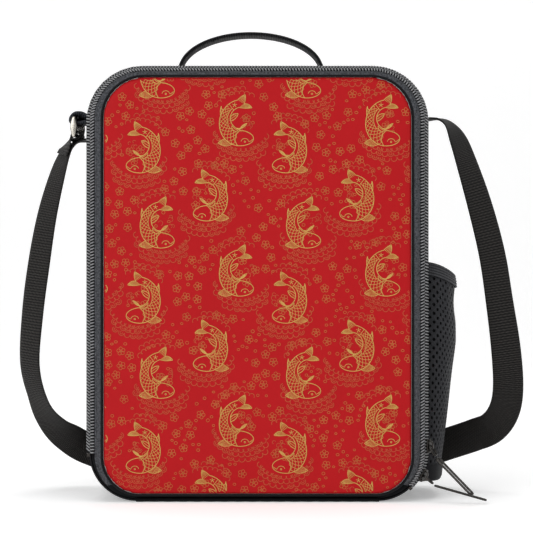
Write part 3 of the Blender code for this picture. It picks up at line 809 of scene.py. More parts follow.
body_tape = band("body_zipper_tape", 560, 6, body_tape_place, 0.0007)
dress(body_tape, tape_cloth, "bag", "zipper_tape", "zipper_tape_body")


# ------------------------------------------------------------------------------------------------
# Zipper coil: two rows of nylon teeth that lock in a herringbone, on the sides and top of the lid.
# Each tooth is one bent loop of the coil, set on a dark core.
# ------------------------------------------------------------------------------------------------
TOOTH_PITCH = 0.00196
TOOTH_SLANT = 0.00095
TOOTH_THICK = 0.00048
TOOTH_RISE = 0.00058

coil_nylon = Finish("coil_nylon", (0.075, 0.078, 0.084), 0.36, Coat_Weight=0.08, Coat_Roughness=0.25)
# The teeth are painted from dark grey up to pale grey in random blotches: painted highlights on dark nylon
# teeth.
coil_painted_glints = coil_nylon.cloud(coil_nylon.place(), 1400.0, 2.0)
coil_nylon.paint(coil_painted_glints, (0.050, 0.052, 0.056), (0.400, 0.405, 0.415))
coil_core = Finish("coil_core", (0.006, 0.006, 0.007), 0.8, Specular_IOR_Level=0.10)
core_lint = coil_core.cloud(coil_core.place(), 1800.0, 2.0)
coil_core.paint(core_lint, (0.003, 0.003, 0.004), (0.010, 0.010, 0.011))
coil_core.relief(core_lint, 0.00006)


def coat(finish, *nodes):
    """Gives CAD nodes that stay in sight a finish."""
    for node in nodes:
        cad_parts[node].data.materials.clear()
        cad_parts[node].data.materials.append(finish.material)


coat(coil_core, "zipper_coil_body", "zipper_coil_lid")


def join_all(name, parts):
    """Joins copies into one piece whose object sits at the origin."""
    bpy.ops.object.select_all(action="DESELECT")
    for part in parts:
        part.select_set(True)
    bpy.context.view_layer.objects.active = parts[0]
    bpy.ops.object.join()
    piece = bpy.context.object
    bpy.ops.object.transform_apply(location=True, rotation=True, scale=True)
    piece.name = name
    piece.data.name = name
    return piece


def copies(original, places):
    """One copy of a small part at each matrix, each with its own mesh."""
    made = []
    for matrix in places:
        part = original.copy()
        part.data = original.data.copy()
        bpy.context.scene.collection.objects.link(part)
        part.matrix_world = matrix
        made.append(part)
    bpy.data.objects.remove(original)
    return made


def tooth_matrix(start, end, up):
    """Stands a tooth of unit length on the line from start to end, its rise along up."""
    reach = end - start
    long = reach.normalized()
    side = long.cross(up).normalized()
    rise = side.cross(long)
    turned = Matrix((side * TOOTH_THICK, long * reach.length / 2, rise * TOOTH_RISE))
    return Matrix.Translation((start + end) / 2) @ turned.transposed().to_4x4()


def bead(segments, rings):
    """A round bead of unit radius with its poles along Y."""
    bpy.ops.object.select_all(action="DESELECT")
    bpy.ops.mesh.primitive_uv_sphere_add(
        segments=segments, ring_count=rings, radius=1.0, rotation=(radians(90), 0, 0)
    )
    bpy.ops.object.transform_apply(location=False, rotation=True, scale=False)
    return bpy.context.object


def row_of_teeth(name, inner, outer, offset):
    """Teeth from the meeting line to the outer edge of one row; each end is (width, gaps, y)."""
    tooth = bead(8, 5)
    for vertex in tooth.data.vertices:
        vertex.co.y = max(-1.0, min(1.0, vertex.co.y * 1.25))
        vertex.co.z += 0.25 * (1 - vertex.co.y**2)
    tooth.data.shade_smooth()
    places = []
    for index in range(int(ZIP_LENGTH / TOOTH_PITCH)):
        run = (index + offset) * TOOTH_PITCH
        start = front_band(run, *inner)
        end = front_band(run + TOOTH_SLANT, *outer)
        _, out = rim(run, 0.0, 0.0, 0.0)
        rail = out.cross(Vector((0, -1, 0)))
        flat = (end - start).normalized()
        up = rail.cross(flat).normalized()
        if up.dot(out + Vector((0, -1, 0))) < 0:
            up.negate()
        ahead = (start - end).normalized() * 0.00030
        places.append(tooth_matrix(start + ahead, end, up))
    return join_all(name, copies(tooth, places))


lid_teeth = row_of_teeth("zipper_teeth_lid", (BODY_ROW, 1, MEET_Y - GAP), (BOTH_ROWS, 1, LID_EDGE_Y), 0.25)
dress(lid_teeth, coil_nylon, "lid", "zipper_coil")
body_teeth = row_of_teeth("zipper_teeth_body", (BODY_ROW, 0, MEET_Y), (0.0001, 0, MEET_Y + 0.0040), 0.75)
dress(body_teeth, coil_nylon, "bag", "zipper_coil")


# ------------------------------------------------------------------------------------------------
# Wall of the bag: one long strip of black oxford cloth round the sides, top and bottom, over foam.
# It pulls in a little at half depth, and it has shallow drag lines where the seams hold it.
# ------------------------------------------------------------------------------------------------
WALL_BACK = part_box("gusset_outer")[1].y
WALL_CLOTH = 0.0010
WALL_BOW = 0.0011
WALL_DRAG = 0.0011
WALL_FLAT_FOOT = 0.02

SOFT = {"Sheen_Weight": 0.02, "Specular_IOR_Level": 0.15}
oxford = Finish("black_oxford", (0.008, 0.008, 0.0095), 0.66, **SOFT)
ox_weave, ox_fuzz = woven(oxford, 5200.0, 0.00010)
oxford.paint(ox_weave * 0.5 + ox_fuzz * 0.5, (0.0020, 0.0020, 0.0028), (0.022, 0.022, 0.0250))


def wall_place(u, v):
    run = u * RIM_LENGTH
    point, out = rim(run, WALL_INSET, WALL_INSET, 0.0)
    point.y = WALL_FRONT + (WALL_BACK - WALL_FRONT) * v
    up_share = min(1.0, max(0.0, point.z / WALL_FLAT_FOOT))
    bow_in = WALL_BOW * (1 - (2 * v - 1) ** 2) ** 0.8
    drag = noise.noise(Vector((point.x * 22 + 5, point.y * 40, point.z * 22))) * WALL_DRAG
    edge_hold = sin(pi * v) ** 0.5 if 0 < v < 1 else 0.0
    return point - out * (bow_in + drag + WALL_DRAG) * up_share * edge_hold * 0.6


wall = band("side_wall_cloth", 420, 26, wall_place, WALL_CLOTH, joined=True)
dress(wall, oxford, "bag", "black_cloth", "gusset_outer", "gusset_foam")


# ------------------------------------------------------------------------------------------------
# Back panel: black oxford over foam, swelled a little by the foam behind it.
# A twill cord is sewn in round its edge, and the cord's flat flange lies on the panel.
# ------------------------------------------------------------------------------------------------
back_low, back_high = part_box("back_panel_outer")
BACK_EDGE = back_high.y
BACK_CORD_RADIUS = 0.00110
BACK_DEPTH = 0.0020
BACK_RADII = (0.0322, 0.0288)
BACK_CREASE = 0.0009
back_front = (back_low[0], back_low[1] - BACK_DEPTH, back_low[2])
back_panel = round_slab("back_panel", back_front, back_high, *BACK_RADII, PANEL_CELL)
crown(back_panel, back_front, back_high, 0.0003, 1, BACK_CREASE)
dress(back_panel, oxford, "bag", "black_cloth", "back_panel_outer")


def back_cord_centre(run):
    inset = 0.0012
    return rim_point(run, inset, inset, inset, BACK_EDGE - inset)


def back_flange_place(u, v):
    inset = 0.0018 + 0.0026 * (1 - v)
    return rim_point(-u * RIM_LENGTH, inset, inset, inset - 0.0004, BACK_EDGE - 0.0004 - 0.0003 * v)


back_cord = cord_round("back_edge_cord", BACK_CORD_RADIUS, back_cord_centre, 420)
dress(back_cord, piping_cloth, "bag", "edge_cord", "back_piping")
back_flange = band("back_edge_flange", 300, 3, back_flange_place, 0.0008, joined=True)
dress(back_flange, piping_cloth, "bag", "edge_cord")


# ------------------------------------------------------------------------------------------------
# Lining: silver heat-sealed film on the wall, the back and the lid, wrinkled by folding, with black
# binding over the raw edges of the foam, and the foam sheets themselves.
# ------------------------------------------------------------------------------------------------
foil = Finish("silver_film", (0.62, 0.63, 0.65), 0.30, Metallic=0.85)
creases = foil.node("ShaderNodeTexVoronoi", {"feature": "DISTANCE_TO_EDGE"}, Vector=foil.place(), Scale=62.0)
rumple = foil.cloud(foil.place(), 60.0, 4.0)
foil.paint(rumple, (0.50, 0.51, 0.53), (0.74, 0.75, 0.77))
foil.feed("Roughness", rumple * 0.25 + 0.18)
foil.relief(creases.least(0.16) * 2.0 + rumple * 1.8, 0.0009, 0.40)
foam = Finish("grey_foam", (0.55, 0.55, 0.54), 0.95)
cells = foam.node("ShaderNodeTexVoronoi", {}, Vector=foam.place(), Scale=1400.0)
foam.paint(cells, (0.42, 0.42, 0.41), (0.66, 0.66, 0.65))
foam.relief(cells, 0.0002)
coat(foam, "back_foam", "lid_foam")

lining_low, lining_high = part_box("gusset_lining")
LINING_OUT = HALF_WIDTH - lining_high.x
LINING_FILM = 0.0006
FILM_DEPTH = 0.0022
FILM_RADII = (0.027, 0.024)
FILM_CELL = 0.0024
LINING_RUMPLE = 0.0009


def lining_place(u, v):
    run = u * RIM_LENGTH
    inset = LINING_OUT + LINING_FILM
    point, out = rim(run, inset, inset, inset - WALL_INSET)
    point.y = lining_high.y + (lining_low.y - lining_high.y) * v
    hold = sin(pi * v) ** 0.5 if 0 < v < 1 else 0.0
    rumples = noise.noise(Vector((point.x * 40, point.y * 55, point.z * 40 + 9))) * LINING_RUMPLE
    return point + out * (rumples - 0.0003) * hold * 0.5


wall_lining = band("wall_lining", 320, 24, lining_place, LINING_FILM, joined=True)
dress(wall_lining, foil, "bag", "foil_lining", "gusset_lining")
for body, face_side, wrinkle in (("back", -1, 0.0007), ("lid", 1, 0.0002)):
    node = body + "_lining"
    low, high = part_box(node)
    deep_low, deep_high = Vector(low), Vector(high)
    if face_side < 0:
        deep_high.y += FILM_DEPTH
    else:
        deep_low.y -= FILM_DEPTH
    film = round_slab(body + "_film", deep_low, deep_high, *FILM_RADII, FILM_CELL)
    crown(film, deep_low, deep_high, 0.0, face_side, wrinkle)
    dress(film, foil, "bag" if face_side < 0 else "lid", "foil_lining", node)


def spot(share, row):
    """Where a share from 0 to 1 falls in a row of stops: the stop before it, and the rest."""
    position = share * (len(row) - 1)
    index = min(int(position), len(row) - 2)
    return index, position - index


def binding(name, body, profile, along=360):
    """Folded tape over a raw edge. Each profile point is (inset, y), from the inside to the outside."""

    def place(u, v):
        index, share = spot(v, profile)
        (inset, y), (next_inset, next_y) = profile[index : index + 2]
        inset += (next_inset - inset) * share
        y += (next_y - y) * share
        if body == "lid":
            return front_band(u * RIM_LENGTH, inset, 4, y)
        return rim_point(u * RIM_LENGTH, inset, inset, inset - WALL_INSET, y)

    edge = band(name, along, 3 * (len(profile) - 1), place, 0.0004, joined=True)
    return dress(edge, piping_cloth, body, "edge_cord")


binding(
    "wall_edge_binding",
    "bag",
    (
        (0.0094, WALL_FRONT + 0.006),
        (0.0094, WALL_FRONT + 0.0004),
        (0.0080, WALL_FRONT - 0.0006),
        (0.0040, WALL_FRONT - 0.0007),
        (0.0032, WALL_FRONT - 0.0002),
    ),
)
LID_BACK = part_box("lid_lining")[1].y
binding(
    "lid_edge_binding",
    "lid",
    (
        (0.0087, LID_BACK - 0.0046),
        (0.0086, LID_BACK - 0.0010),
        (0.0100, LID_BACK + 0.0003),
        (0.0150, LID_BACK + 0.0003),
    ),
)


# ------------------------------------------------------------------------------------------------
# Hinge strip: the folded black cloth under the front edge, where the zipper stops and the lid turns.
# It is sewn to the lid on one side and to the bottom of the bag on the other.
# ------------------------------------------------------------------------------------------------
hinge_low, hinge_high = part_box("hinge_strip")
HINGE_RIPPLE = 0.06


def hinge_place(u, v):
    middle, half = (hinge_low + hinge_high) / 2, (hinge_high - hinge_low) / 2
    x = hinge_low.x + 2 * half.x * u
    ripple = 1.0 + HINGE_RIPPLE * sin(x * 700 + pi * (0.5 + v))
    z = hinge_high.z / 2 * (1.0 + sin(2 * pi * v) * ripple)
    return Vector((x, middle.y + half.y * cos(2 * pi * v), max(0.0, z)))


def close_ends(piece):
    """Caps the open ends of a tube and turns its faces outwards."""
    take(piece)
    bpy.ops.object.mode_set(mode="EDIT")
    bpy.ops.mesh.select_all(action="SELECT")
    bpy.ops.mesh.fill_holes(sides=0)
    bpy.ops.mesh.select_all(action="SELECT")
    bpy.ops.mesh.normals_make_consistent(inside=False)
    bpy.ops.object.mode_set(mode="OBJECT")
    return piece


hinge_strip = close_ends(band("hinge_fold", 120, 20, hinge_place, joined=True))
dress(hinge_strip, piping_cloth, "bag", "black_cloth", "hinge_strip")


# ------------------------------------------------------------------------------------------------
# Top handle: one length of black ribbed webbing, arched over the lid's top and sewn flat at each end.
# Each sewn end lies flat on its patch, and the arch rises from a few millimetres short of the patch's inner
# edge.
# ------------------------------------------------------------------------------------------------
WEB_RIB = 0.0013
WEB_FLOAT = 0.00055


def webbing(name, length, width, dark, light):
    """Ribbed polypropylene webbing: cross ribs along its length, each split into small floats."""
    cloth = Finish(name, light, 0.60, **SOFT)
    along, around, _ = cloth.axes(cloth.place("UV"))
    ribs = (along * (2 * pi * length / WEB_RIB)).sine()
    sway = (along * (pi * length / WEB_RIB)).sine()
    floats = (around * (2 * pi * width / WEB_FLOAT) + sway * 2.0).sine()
    lint = cloth.cloud(cloth.place(), 900.0, 3.0)
    # The rib crests are painted lighter and the grooves between them darker: painted highlight and shade on
    # the ribs, with the lint's random tone.
    cloth.paint(ribs * 0.42 + floats * 0.16 + lint * 0.5 + 0.05, dark, light)
    cloth.relief(ribs * 0.55 + floats * 0.25 + lint * 0.3, 0.00030, 1.0)
    return cloth


def square_off(value, power):
    """Pushes a sine or cosine towards its ends, so that a round section turns into a flat bar."""
    return abs(value) ** power * (1 if value > 0 else -1)


def length_of(points):
    return sum((b - a).length for a, b in zip(points, points[1:]))


def ribbon(name, path, sides, widths, thick, around=20):
    """Webbing along a path. Its section is a flat oval-ended bar; widths may change along it."""

    def place(u, v):
        index, share = spot(u, path)
        centre = path[index].lerp(path[index + 1], share)
        along = (path[index + 1] - path[max(index - (share < 0.5), 0)]).normalized()
        side = sides[index].lerp(sides[index + 1], share)
        side = (side - along * side.dot(along)).normalized()
        face = along.cross(side)
        half = (widths[index] + (widths[index + 1] - widths[index]) * share) / 2
        flat = square_off(cos(2 * pi * v), 0.35)
        rise = square_off(sin(2 * pi * v), 0.7)
        return centre + side * half * flat + face * (thick / 2) * rise

    return close_ends(band(name, len(path) * 2, around, place, joined=True))


patch_left_low, patch_left_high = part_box("handle_patch_left")
patch_right_low, patch_right_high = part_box("handle_patch_right")
HANDLE_X = (patch_left_low.x + patch_right_high.x) / 2
HANDLE_HALF = 0.0465
HANDLE_BASE = patch_left_high.z + GAP
HANDLE_RISE = 0.0237
HANDLE_WIDTH = patch_left_high.y - patch_left_low.y
HANDLE_WEB = 0.0025
HANDLE_BEND = 0.0040
HANDLE_WAIST = 0.03
HANDLE_WAIST_RISE = 0.010
HANDLE_DARK = (0.003, 0.003, 0.004)
HANDLE_LIGHT = (0.034, 0.035, 0.039)


def sewn_foot(start, end, patch_z):
    """One end of the handle, laid flat on its patch."""
    return [Vector((start + (end - start) * step / 8, 0, patch_z + HANDLE_WEB * 0.52)) for step in range(9)]


handle_path = sewn_foot(patch_left_low.x, patch_left_high.x - HANDLE_BEND, patch_left_low.z)
for step in range(3, 42):
    angle = pi - pi * step / 44
    rise = HANDLE_BASE - 0.0001 + HANDLE_RISE * sin(angle)
    handle_path.append(Vector((HANDLE_X + HANDLE_HALF * cos(angle), 0, rise)))
handle_path += sewn_foot(patch_right_low.x + HANDLE_BEND, patch_right_high.x, patch_right_low.z)
handle_length = length_of(handle_path)
handle_cloth = webbing("handle_webbing", handle_length, HANDLE_WIDTH, HANDLE_DARK, HANDLE_LIGHT)
depth_side = [Vector((0, 1, 0))] * len(handle_path)
handle_widths = []
for point in handle_path:
    waist = max(0.0, min(1.0, (point.z - HANDLE_BASE) / HANDLE_WAIST_RISE))
    handle_widths.append(HANDLE_WIDTH * (1.0 - HANDLE_WAIST * waist))
handle = ribbon("handle_webbing_arch", handle_path, depth_side, handle_widths, HANDLE_WEB)
dress(handle, handle_cloth, None, "webbing", "top_handle", "handle_patch_left", "handle_patch_right")
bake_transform(handle)


# ------------------------------------------------------------------------------------------------
# Shoulder strap: black ribbed webbing from the left wall, behind the bag, to the right wall.
# On the left a short loop of the same webbing holds the nickel slide, and the strap's tail is sewn back.
# ------------------------------------------------------------------------------------------------
STRAP_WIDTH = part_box("strap_loop_left")[1].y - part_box("strap_loop_left")[0].y
STRAP_WEB = 0.0016
LOOP_WEB = 0.0027
# The light end of the strap's colours is the brownish painted highlight on its rib crests.
STRAP_BLACK = ((0.0016, 0.0014, 0.0012), (0.040, 0.036, 0.033))
# The loop's webbing is painted a lighter blue-grey than the strap's black: painted light on the same
# webbing.
LOOP_PAINTED_LIGHT = ((0.014, 0.016, 0.020), (0.084, 0.092, 0.110))
ANCHOR_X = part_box("strap_anchor_right")[1].x + GAP
STRAP_BACK_Y = BACK_EDGE + STRAP_WEB / 2 + 0.0004
STRAP_STATIONS = (
    (ANCHOR_X, 0.0, 0.2484, 90.0),
    (0.1145, 0.0, 0.2487, 90.0),
    (0.1203, 0.0, 0.2486, 84.0),
    (0.1268, 0.0, 0.2450, 70.0),
    (0.1326, 0.0, 0.2360, 54.0),
    (0.1382, 0.0, 0.2210, 46.0),
    (0.1475, 0.0, 0.1912, 36.0),
    (0.1555, 0.0, 0.1593, 31.0),
    (0.1605, 0.0, 0.1274, 28.0),
    (0.1648, 0.0, 0.0956, 20.0),
    (0.1664, 0.002, 0.0700, 16.0),
    (0.1640, 0.007, 0.0540, 10.0),
    (0.1570, 0.014, 0.0430, 4.0),
    (0.1460, 0.023, 0.0370, 0.0),
    (0.1330, 0.036, 0.0310, 0.0),
    (0.1180, STRAP_BACK_Y, 0.0250, 0.0),
    (0.0900, STRAP_BACK_Y, 0.0180, 0.0),
    (0.0450, STRAP_BACK_Y, 0.0135, 0.0),
    (0.0, STRAP_BACK_Y, 0.0122, 0.0),
    (-0.0450, STRAP_BACK_Y, 0.0135, 0.0),
    (-0.0900, STRAP_BACK_Y, 0.0180, 0.0),
    (-0.1160, STRAP_BACK_Y, 0.0255, 0.0),
    (-0.1290, 0.034, 0.0345, 12.0),
    (-0.1390, 0.020, 0.0460, 34.0),
    (-0.1465, 0.008, 0.0620, 50.0),
    (-0.1515, 0.002, 0.0860, 48.0),
    (-0.1495, 0.0, 0.1195, 44.0),
    (-0.1455, 0.0, 0.1513, 43.0),
    (-0.1402, 0.0, 0.1832, 48.0),
    (-0.1335, 0.0, 0.2100, 56.0),
    (-0.1278, 0.0, 0.2260, 66.0),
    (-0.1215, 0.0, 0.2325, 80.0),
    (-0.1150, 0.0, 0.2345, 90.0),
    (-ANCHOR_X, 0.0, 0.2345, 90.0),
)
LOOP_STATIONS = (
    (-ANCHOR_X, 0.0, 0.2480, 80.0),
    (-0.1135, 0.0, 0.2486, 77.0),
    (-0.1168, 0.0, 0.2505, 79.0),
    (-0.1200, 0.0, 0.2514, 86.0),
    (-0.1228, 0.0, 0.2496, 90.0),
    (-0.1232, 0.0, 0.2468, 90.0),
    (-0.1208, 0.0, 0.2456, 90.0),
    (-0.1170, 0.0, 0.2457, 90.0),
    (-0.1135, 0.0, 0.2464, 90.0),
    (-ANCHOR_X, 0.0, 0.2463, 90.0),
)


TAIL_STATIONS = (
    (-0.1256, 0.0, 0.2330, 78.0),
    (-0.1232, 0.0, 0.2374, 87.0),
    (-0.1217, 0.0, 0.2396, 90.0),
    (-0.1195, 0.0, 0.2402, 90.0),
    (-0.1172, 0.0, 0.2394, 90.0),
    (-0.1163, 0.0, 0.2373, 90.0),
    (-0.1178, 0.0, 0.2355, 90.0),
    (-0.1206, 0.0, 0.2350, 89.0),
    (-0.1232, 0.0, 0.2340, 86.0),
)
TAIL_LOW, TAIL_HIGH = 0.2235, 0.2275
TAIL_OFF = 0.0017


def strap_path(stations, steps):
    """A smooth path through the stations, and the direction of the webbing's width at each point.
    At lean 90 the webbing lies across the bag's depth; at 0 its face looks forward."""
    points, leans = [], []
    for index in range(len(stations) - 1):
        rows = [stations[max(index - 1, 0)], stations[index], stations[index + 1]]
        rows.append(stations[min(index + 2, len(stations) - 1)])
        for step in range(steps):
            t = step / steps
            weights = (
                0.5 * (-t + 2 * t**2 - t**3),
                0.5 * (2 - 5 * t**2 + 3 * t**3),
                0.5 * (t + 4 * t**2 - 3 * t**3),
                0.5 * (-(t**2) + t**3),
            )
            values = [sum(w * row[axis] for w, row in zip(weights, rows)) for axis in range(4)]
            points.append(Vector(values[:3]))
            leans.append(radians(values[3]))
    points.append(Vector(stations[-1][:3]))
    leans.append(radians(stations[-1][3]))
    sides = []
    depth = Vector((0, 1, 0))
    for index, lean in enumerate(leans):
        along = (points[min(index + 1, len(points) - 1)] - points[max(index - 1, 0)]).normalized()
        flat = along.cross(depth).normalized()
        square = (depth - along * depth.dot(along)).normalized()
        sides.append(flat * cos(lean) + square * sin(lean))
    return points, sides


def lay_webbing(name, path, sides, thick, cloth_name, colours, held, *nodes):
    """One length of the strap's webbing along a path, as a sheet of that length."""
    length = length_of(path)
    cloth = webbing(cloth_name, length, STRAP_WIDTH, *colours)
    piece = ribbon(name, path, sides, [STRAP_WIDTH] * len(path), thick)
    dress(piece, cloth, "strap", "webbing", *nodes)


strap_points, strap_side = strap_path(STRAP_STATIONS, 8)
lay_webbing(
    "shoulder_strap_webbing", strap_points, strap_side, STRAP_WEB,
    "strap_webbing", STRAP_BLACK, "hung", "shoulder_strap",
)
lay_webbing(
    "slide_loop", *strap_path(LOOP_STATIONS, 8), LOOP_WEB,
    "loop_webbing", LOOP_PAINTED_LIGHT, "stretched", "strap_loop_left",
)
tail_stations = []
for index, point in enumerate(strap_points):
    if point.x < 0 and TAIL_LOW < point.z < TAIL_HIGH:
        along = (strap_points[index + 1] - strap_points[index - 1]).normalized()
        face = along.cross(strap_side[index]).normalized()
        if face.x > 0:
            face.negate()
        tail_stations.append((*(point + face * TAIL_OFF), 56.0 + (point.z - 0.2100) * 625.0))
lay_webbing(
    "strap_tail", *strap_path([*tail_stations, *TAIL_STATIONS], 4), STRAP_WEB * 0.9,
    "tail_webbing", STRAP_BLACK, "folded",
)

slide_low, slide_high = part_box("strap_slide")
SLIDE_SLOT = 0.0032
SLIDE_SLACK = 0.0004
SLIDE_BAR = (slide_high.z - slide_low.z - 2 * SLIDE_SLOT) / 3
SLIDE_WIRE = 0.0024
SLIDE_YAW = radians(-6.0)
slide_rows = [slide_low.z]
for step in (SLIDE_BAR, SLIDE_SLOT, SLIDE_BAR, SLIDE_SLOT, SLIDE_BAR):
    slide_rows.append(slide_rows[-1] + step)
SLOT_HALF = STRAP_WIDTH / 2 + SLIDE_SLACK
slide_columns = [slide_low.y, -SLOT_HALF, SLOT_HALF, slide_high.y]
slide_x = (slide_low.x + slide_high.x) / 2 + SLIDE_WIRE / 2


def slide_place(u, v):
    return Vector((slide_x, slide_columns[round(u * 3)], slide_rows[round(v * 5)]))


nickel = Finish("nickel_plate", (0.66, 0.62, 0.55), 0.24, Metallic=1.0)
polish = nickel.cloud(nickel.place(), 320.0, 4.0)
nickel.paint(polish, (0.42, 0.395, 0.345), (0.66, 0.63, 0.57))
nickel.feed("Roughness", polish * 0.22 + 0.14)
slide = band("three_bar_slide", 3, 5, slide_place)
bpy.ops.object.mode_set(mode="EDIT")
bpy.ops.mesh.select_mode(type="FACE")
bpy.ops.mesh.select_all(action="DESELECT")
bpy.ops.object.mode_set(mode="OBJECT")
for face in slide.data.polygons:
    row = sum(face.center.z > level for level in slide_rows[1:-1])
    face.select = abs(face.center.y) < 0.002 and row in (1, 3)
bpy.ops.object.mode_set(mode="EDIT")
bpy.ops.mesh.delete(type="FACE")
bpy.ops.object.mode_set(mode="OBJECT")
apply(slide, "SOLIDIFY", thickness=SLIDE_WIRE, offset=-1.0)
slide_face = max(vertex.co.x for vertex in slide.data.vertices)
slide_middle = (slide_low + slide_high) / 2
for vertex in slide.data.vertices:
    vertex.co.x += slide_x - slide_face
    if abs(vertex.co.y - slide_middle.y) > STRAP_WIDTH / 2:
        belly = sin(pi * (vertex.co.z - slide_low.z) / (slide_high.z - slide_low.z))
        vertex.co.x += (vertex.co.x - slide_middle.x) * (1.25 * belly - 0.25)
apply(slide, "BEVEL", width=0.00080, segments=4, limit_method="ANGLE")
close_ends(slide)
slide_turn = Matrix.Rotation(SLIDE_YAW, 4, "Z")
slide.data.transform(Matrix.Translation(slide_middle) @ slide_turn @ Matrix.Translation(-slide_middle))
slide.data.shade_smooth()
slide.data.set_sharp_from_angle(angle=radians(60.0))
dress(slide, nickel, "strap", "slide_metal", "strap_slide")


# ------------------------------------------------------------------------------------------------
# Sewing thread: black bonded thread in boxes with crosses where webbing is sewn down, and in long
# rows beside the zipper. Each stitch is a short raised length that dips in at both ends.
# ------------------------------------------------------------------------------------------------
STITCH = 0.0021
STITCH_PITCH = 0.0028
PATCH_MARGIN = 0.0022
THREAD = 0.00024
PATCH_FREE = 0.0035
ANCHOR_MARGIN = 0.0012
THREAD_LIFT = 0.00005
SEAM_STEPS = 700

thread_fibre = Finish("black_thread", (0.014, 0.014, 0.016), 0.45, Sheen_Weight=0.10)
twist = thread_fibre.cloud(thread_fibre.place(), 2600.0, 2.0)
thread_fibre.paint(twist, (0.008, 0.008, 0.009), (0.050, 0.051, 0.056))
thread_fibre.relief(twist, 0.00005)


def sew(name, lines, body, slot_name):
    """Stitches along lines of (points, up); each line has evenly spaced stitches on its surface."""
    stitch = bead(6, 4)
    stitch.data.shade_smooth()
    places = []
    for points, up in lines:
        length = length_of(points)
        count = max(1, int(length / STITCH_PITCH))
        for number in range(count):
            goal = length * (number + 0.5) / count
            for a, b in zip(points, points[1:]):
                if goal <= (b - a).length:
                    break
                goal -= (b - a).length
            along = (b - a).normalized()
            centre = a + along * goal
            rise = up(centre) if callable(up) else up
            side = along.cross(rise).normalized()
            turned = Matrix((side * THREAD, along * STITCH / 2, rise * THREAD)).transposed().to_4x4()
            places.append(Matrix.Translation(centre) @ turned)
    piece = join_all(name, copies(stitch, places))
    return dress(piece, thread_fibre, body, slot_name)


def box_of_stitches(corner, across, up_way, normal, margin):
    """A sewn rectangle with a cross in it, on a patch given by one corner and its two edges."""
    a = corner + across.normalized() * margin + up_way.normalized() * margin
    wide = across - across.normalized() * 2 * margin
    tall = up_way - up_way.normalized() * 2 * margin
    ring = [a, a + wide, a + wide + tall, a + tall, a]
    return [([ring[i], ring[j]], normal) for i, j in ((0, 1), (1, 2), (2, 3), (3, 4), (0, 2), (1, 3))]


patch_lines = []
for start_share, low, high in ((0, patch_left_low, patch_left_high), (1, patch_right_low, patch_right_high)):
    corner = Vector((low.x + start_share * PATCH_FREE, low.y, low.z + HANDLE_WEB * 1.04))
    across = Vector((high.x - low.x - PATCH_FREE, 0, 0))
    up_way = Vector((0, high.y - low.y, 0))
    patch_lines += box_of_stitches(corner, across, up_way, Vector((0, 0, 1)), PATCH_MARGIN)
sew("handle_stitches", patch_lines, "bag", "webbing")

anchor_cloth = webbing("anchor_webbing", 0.027, STRAP_WIDTH, (0.004, 0.004, 0.0045), (0.030, 0.031, 0.034))
for side_name, side in (("left", -1), ("right", 1)):
    low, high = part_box("strap_anchor_" + side_name)
    bpy.ops.object.select_all(action="DESELECT")
    bpy.ops.mesh.primitive_cube_add(size=1.0, location=(low + high) / 2, scale=high - low)
    anchor = bpy.context.object
    anchor.name = "sewn_anchor_" + side_name
    bpy.ops.object.transform_apply(location=True, rotation=True, scale=True)
    apply(anchor, "BEVEL", width=0.00045, segments=3)
    bpy.ops.object.mode_set(mode="EDIT")
    bpy.ops.mesh.select_all(action="SELECT")
    bpy.ops.mesh.subdivide(number_cuts=2)
    bpy.ops.object.mode_set(mode="OBJECT")
    anchor.data.shade_smooth()
    anchor.data.set_sharp_from_angle(angle=radians(60.0))
    dress(anchor, anchor_cloth, "bag", "webbing", "strap_anchor_" + side_name)
    bottom, tall = (low.z, STRAP_STATIONS[0][2] - 0.0010 - low.z) if side > 0 else (0.2360, 0.0105)
    anchor_lines = box_of_stitches(
        Vector(((high.x if side > 0 else low.x) + side * THREAD_LIFT, low.y, bottom)),
        Vector((0, high.y - low.y, 0)),
        Vector((0, 0, tall)),
        Vector((side, 0, 0)),
        ANCHOR_MARGIN,
    )
    sew("anchor_stitches_" + side_name, anchor_lines, "bag", "webbing")

tape_line, wall_line = [], []
for step in range(SEAM_STEPS + 1):
    run = TAPE_START + (ZIP_LENGTH - TAPE_START) * step / SEAM_STEPS
    tape_line.append(front_band(run, BOTH_ROWS + 0.0010, 2, FRONT + 0.00018))
    inset = 0.00048
    run = ZIP_LENGTH * step / SEAM_STEPS
    wall_line.append(rim_point(run, inset, inset, inset - WALL_INSET, WALL_FRONT + 0.0045))
sew("tape_stitches", [(tape_line, Vector((0, -1, 0)))], "lid", "zipper_tape")


def wall_way(point):
    """The outward direction of the wall nearest to a point on its seam."""
    past_side = max(0.0, abs(point.x) - (HALF_WIDTH - TOP_RADIUS)) * (1 if point.x > 0 else -1)
    past_end = max(0.0, point.z - (HEIGHT - TOP_RADIUS)) - max(0.0, BASE_RADIUS - point.z)
    way = Vector((past_side, 0.0, past_end))
    return way.normalized() if way.length > 1e-6 else Vector((0, 0, 1))


sew("wall_stitches", [(wall_line, wall_way)], "bag", "zipper_tape")


# ------------------------------------------------------------------------------------------------
# Bottle pocket: black spacer mesh with round holes, gathered under a ribbed elastic band, on a plain
# cloth foot. It is sewn to the right wall along both sides and along the bottom.
# ------------------------------------------------------------------------------------------------
net_low, net_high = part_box("bottle_pocket_mesh")
elastic_low, elastic_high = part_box("pocket_elastic")
POCKET_TOP = elastic_high.z
POCKET_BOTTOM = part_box("pocket_base")[0].z
BULGE_TOP = 0.0235
BULGE_BOTTOM = 0.0130
NET_CELL = 0.0028
NET_THICK = 0.0010
NET_THREAD = 0.00024
FOLD_DEPTH = 0.0009
MOUTH_DIP = 0.0088


def pocket_bulge(z):
    share = (z - POCKET_BOTTOM) / (POCKET_TOP - POCKET_BOTTOM)
    return BULGE_BOTTOM + (BULGE_TOP - BULGE_BOTTOM) * min(1.0, share * 1.5)


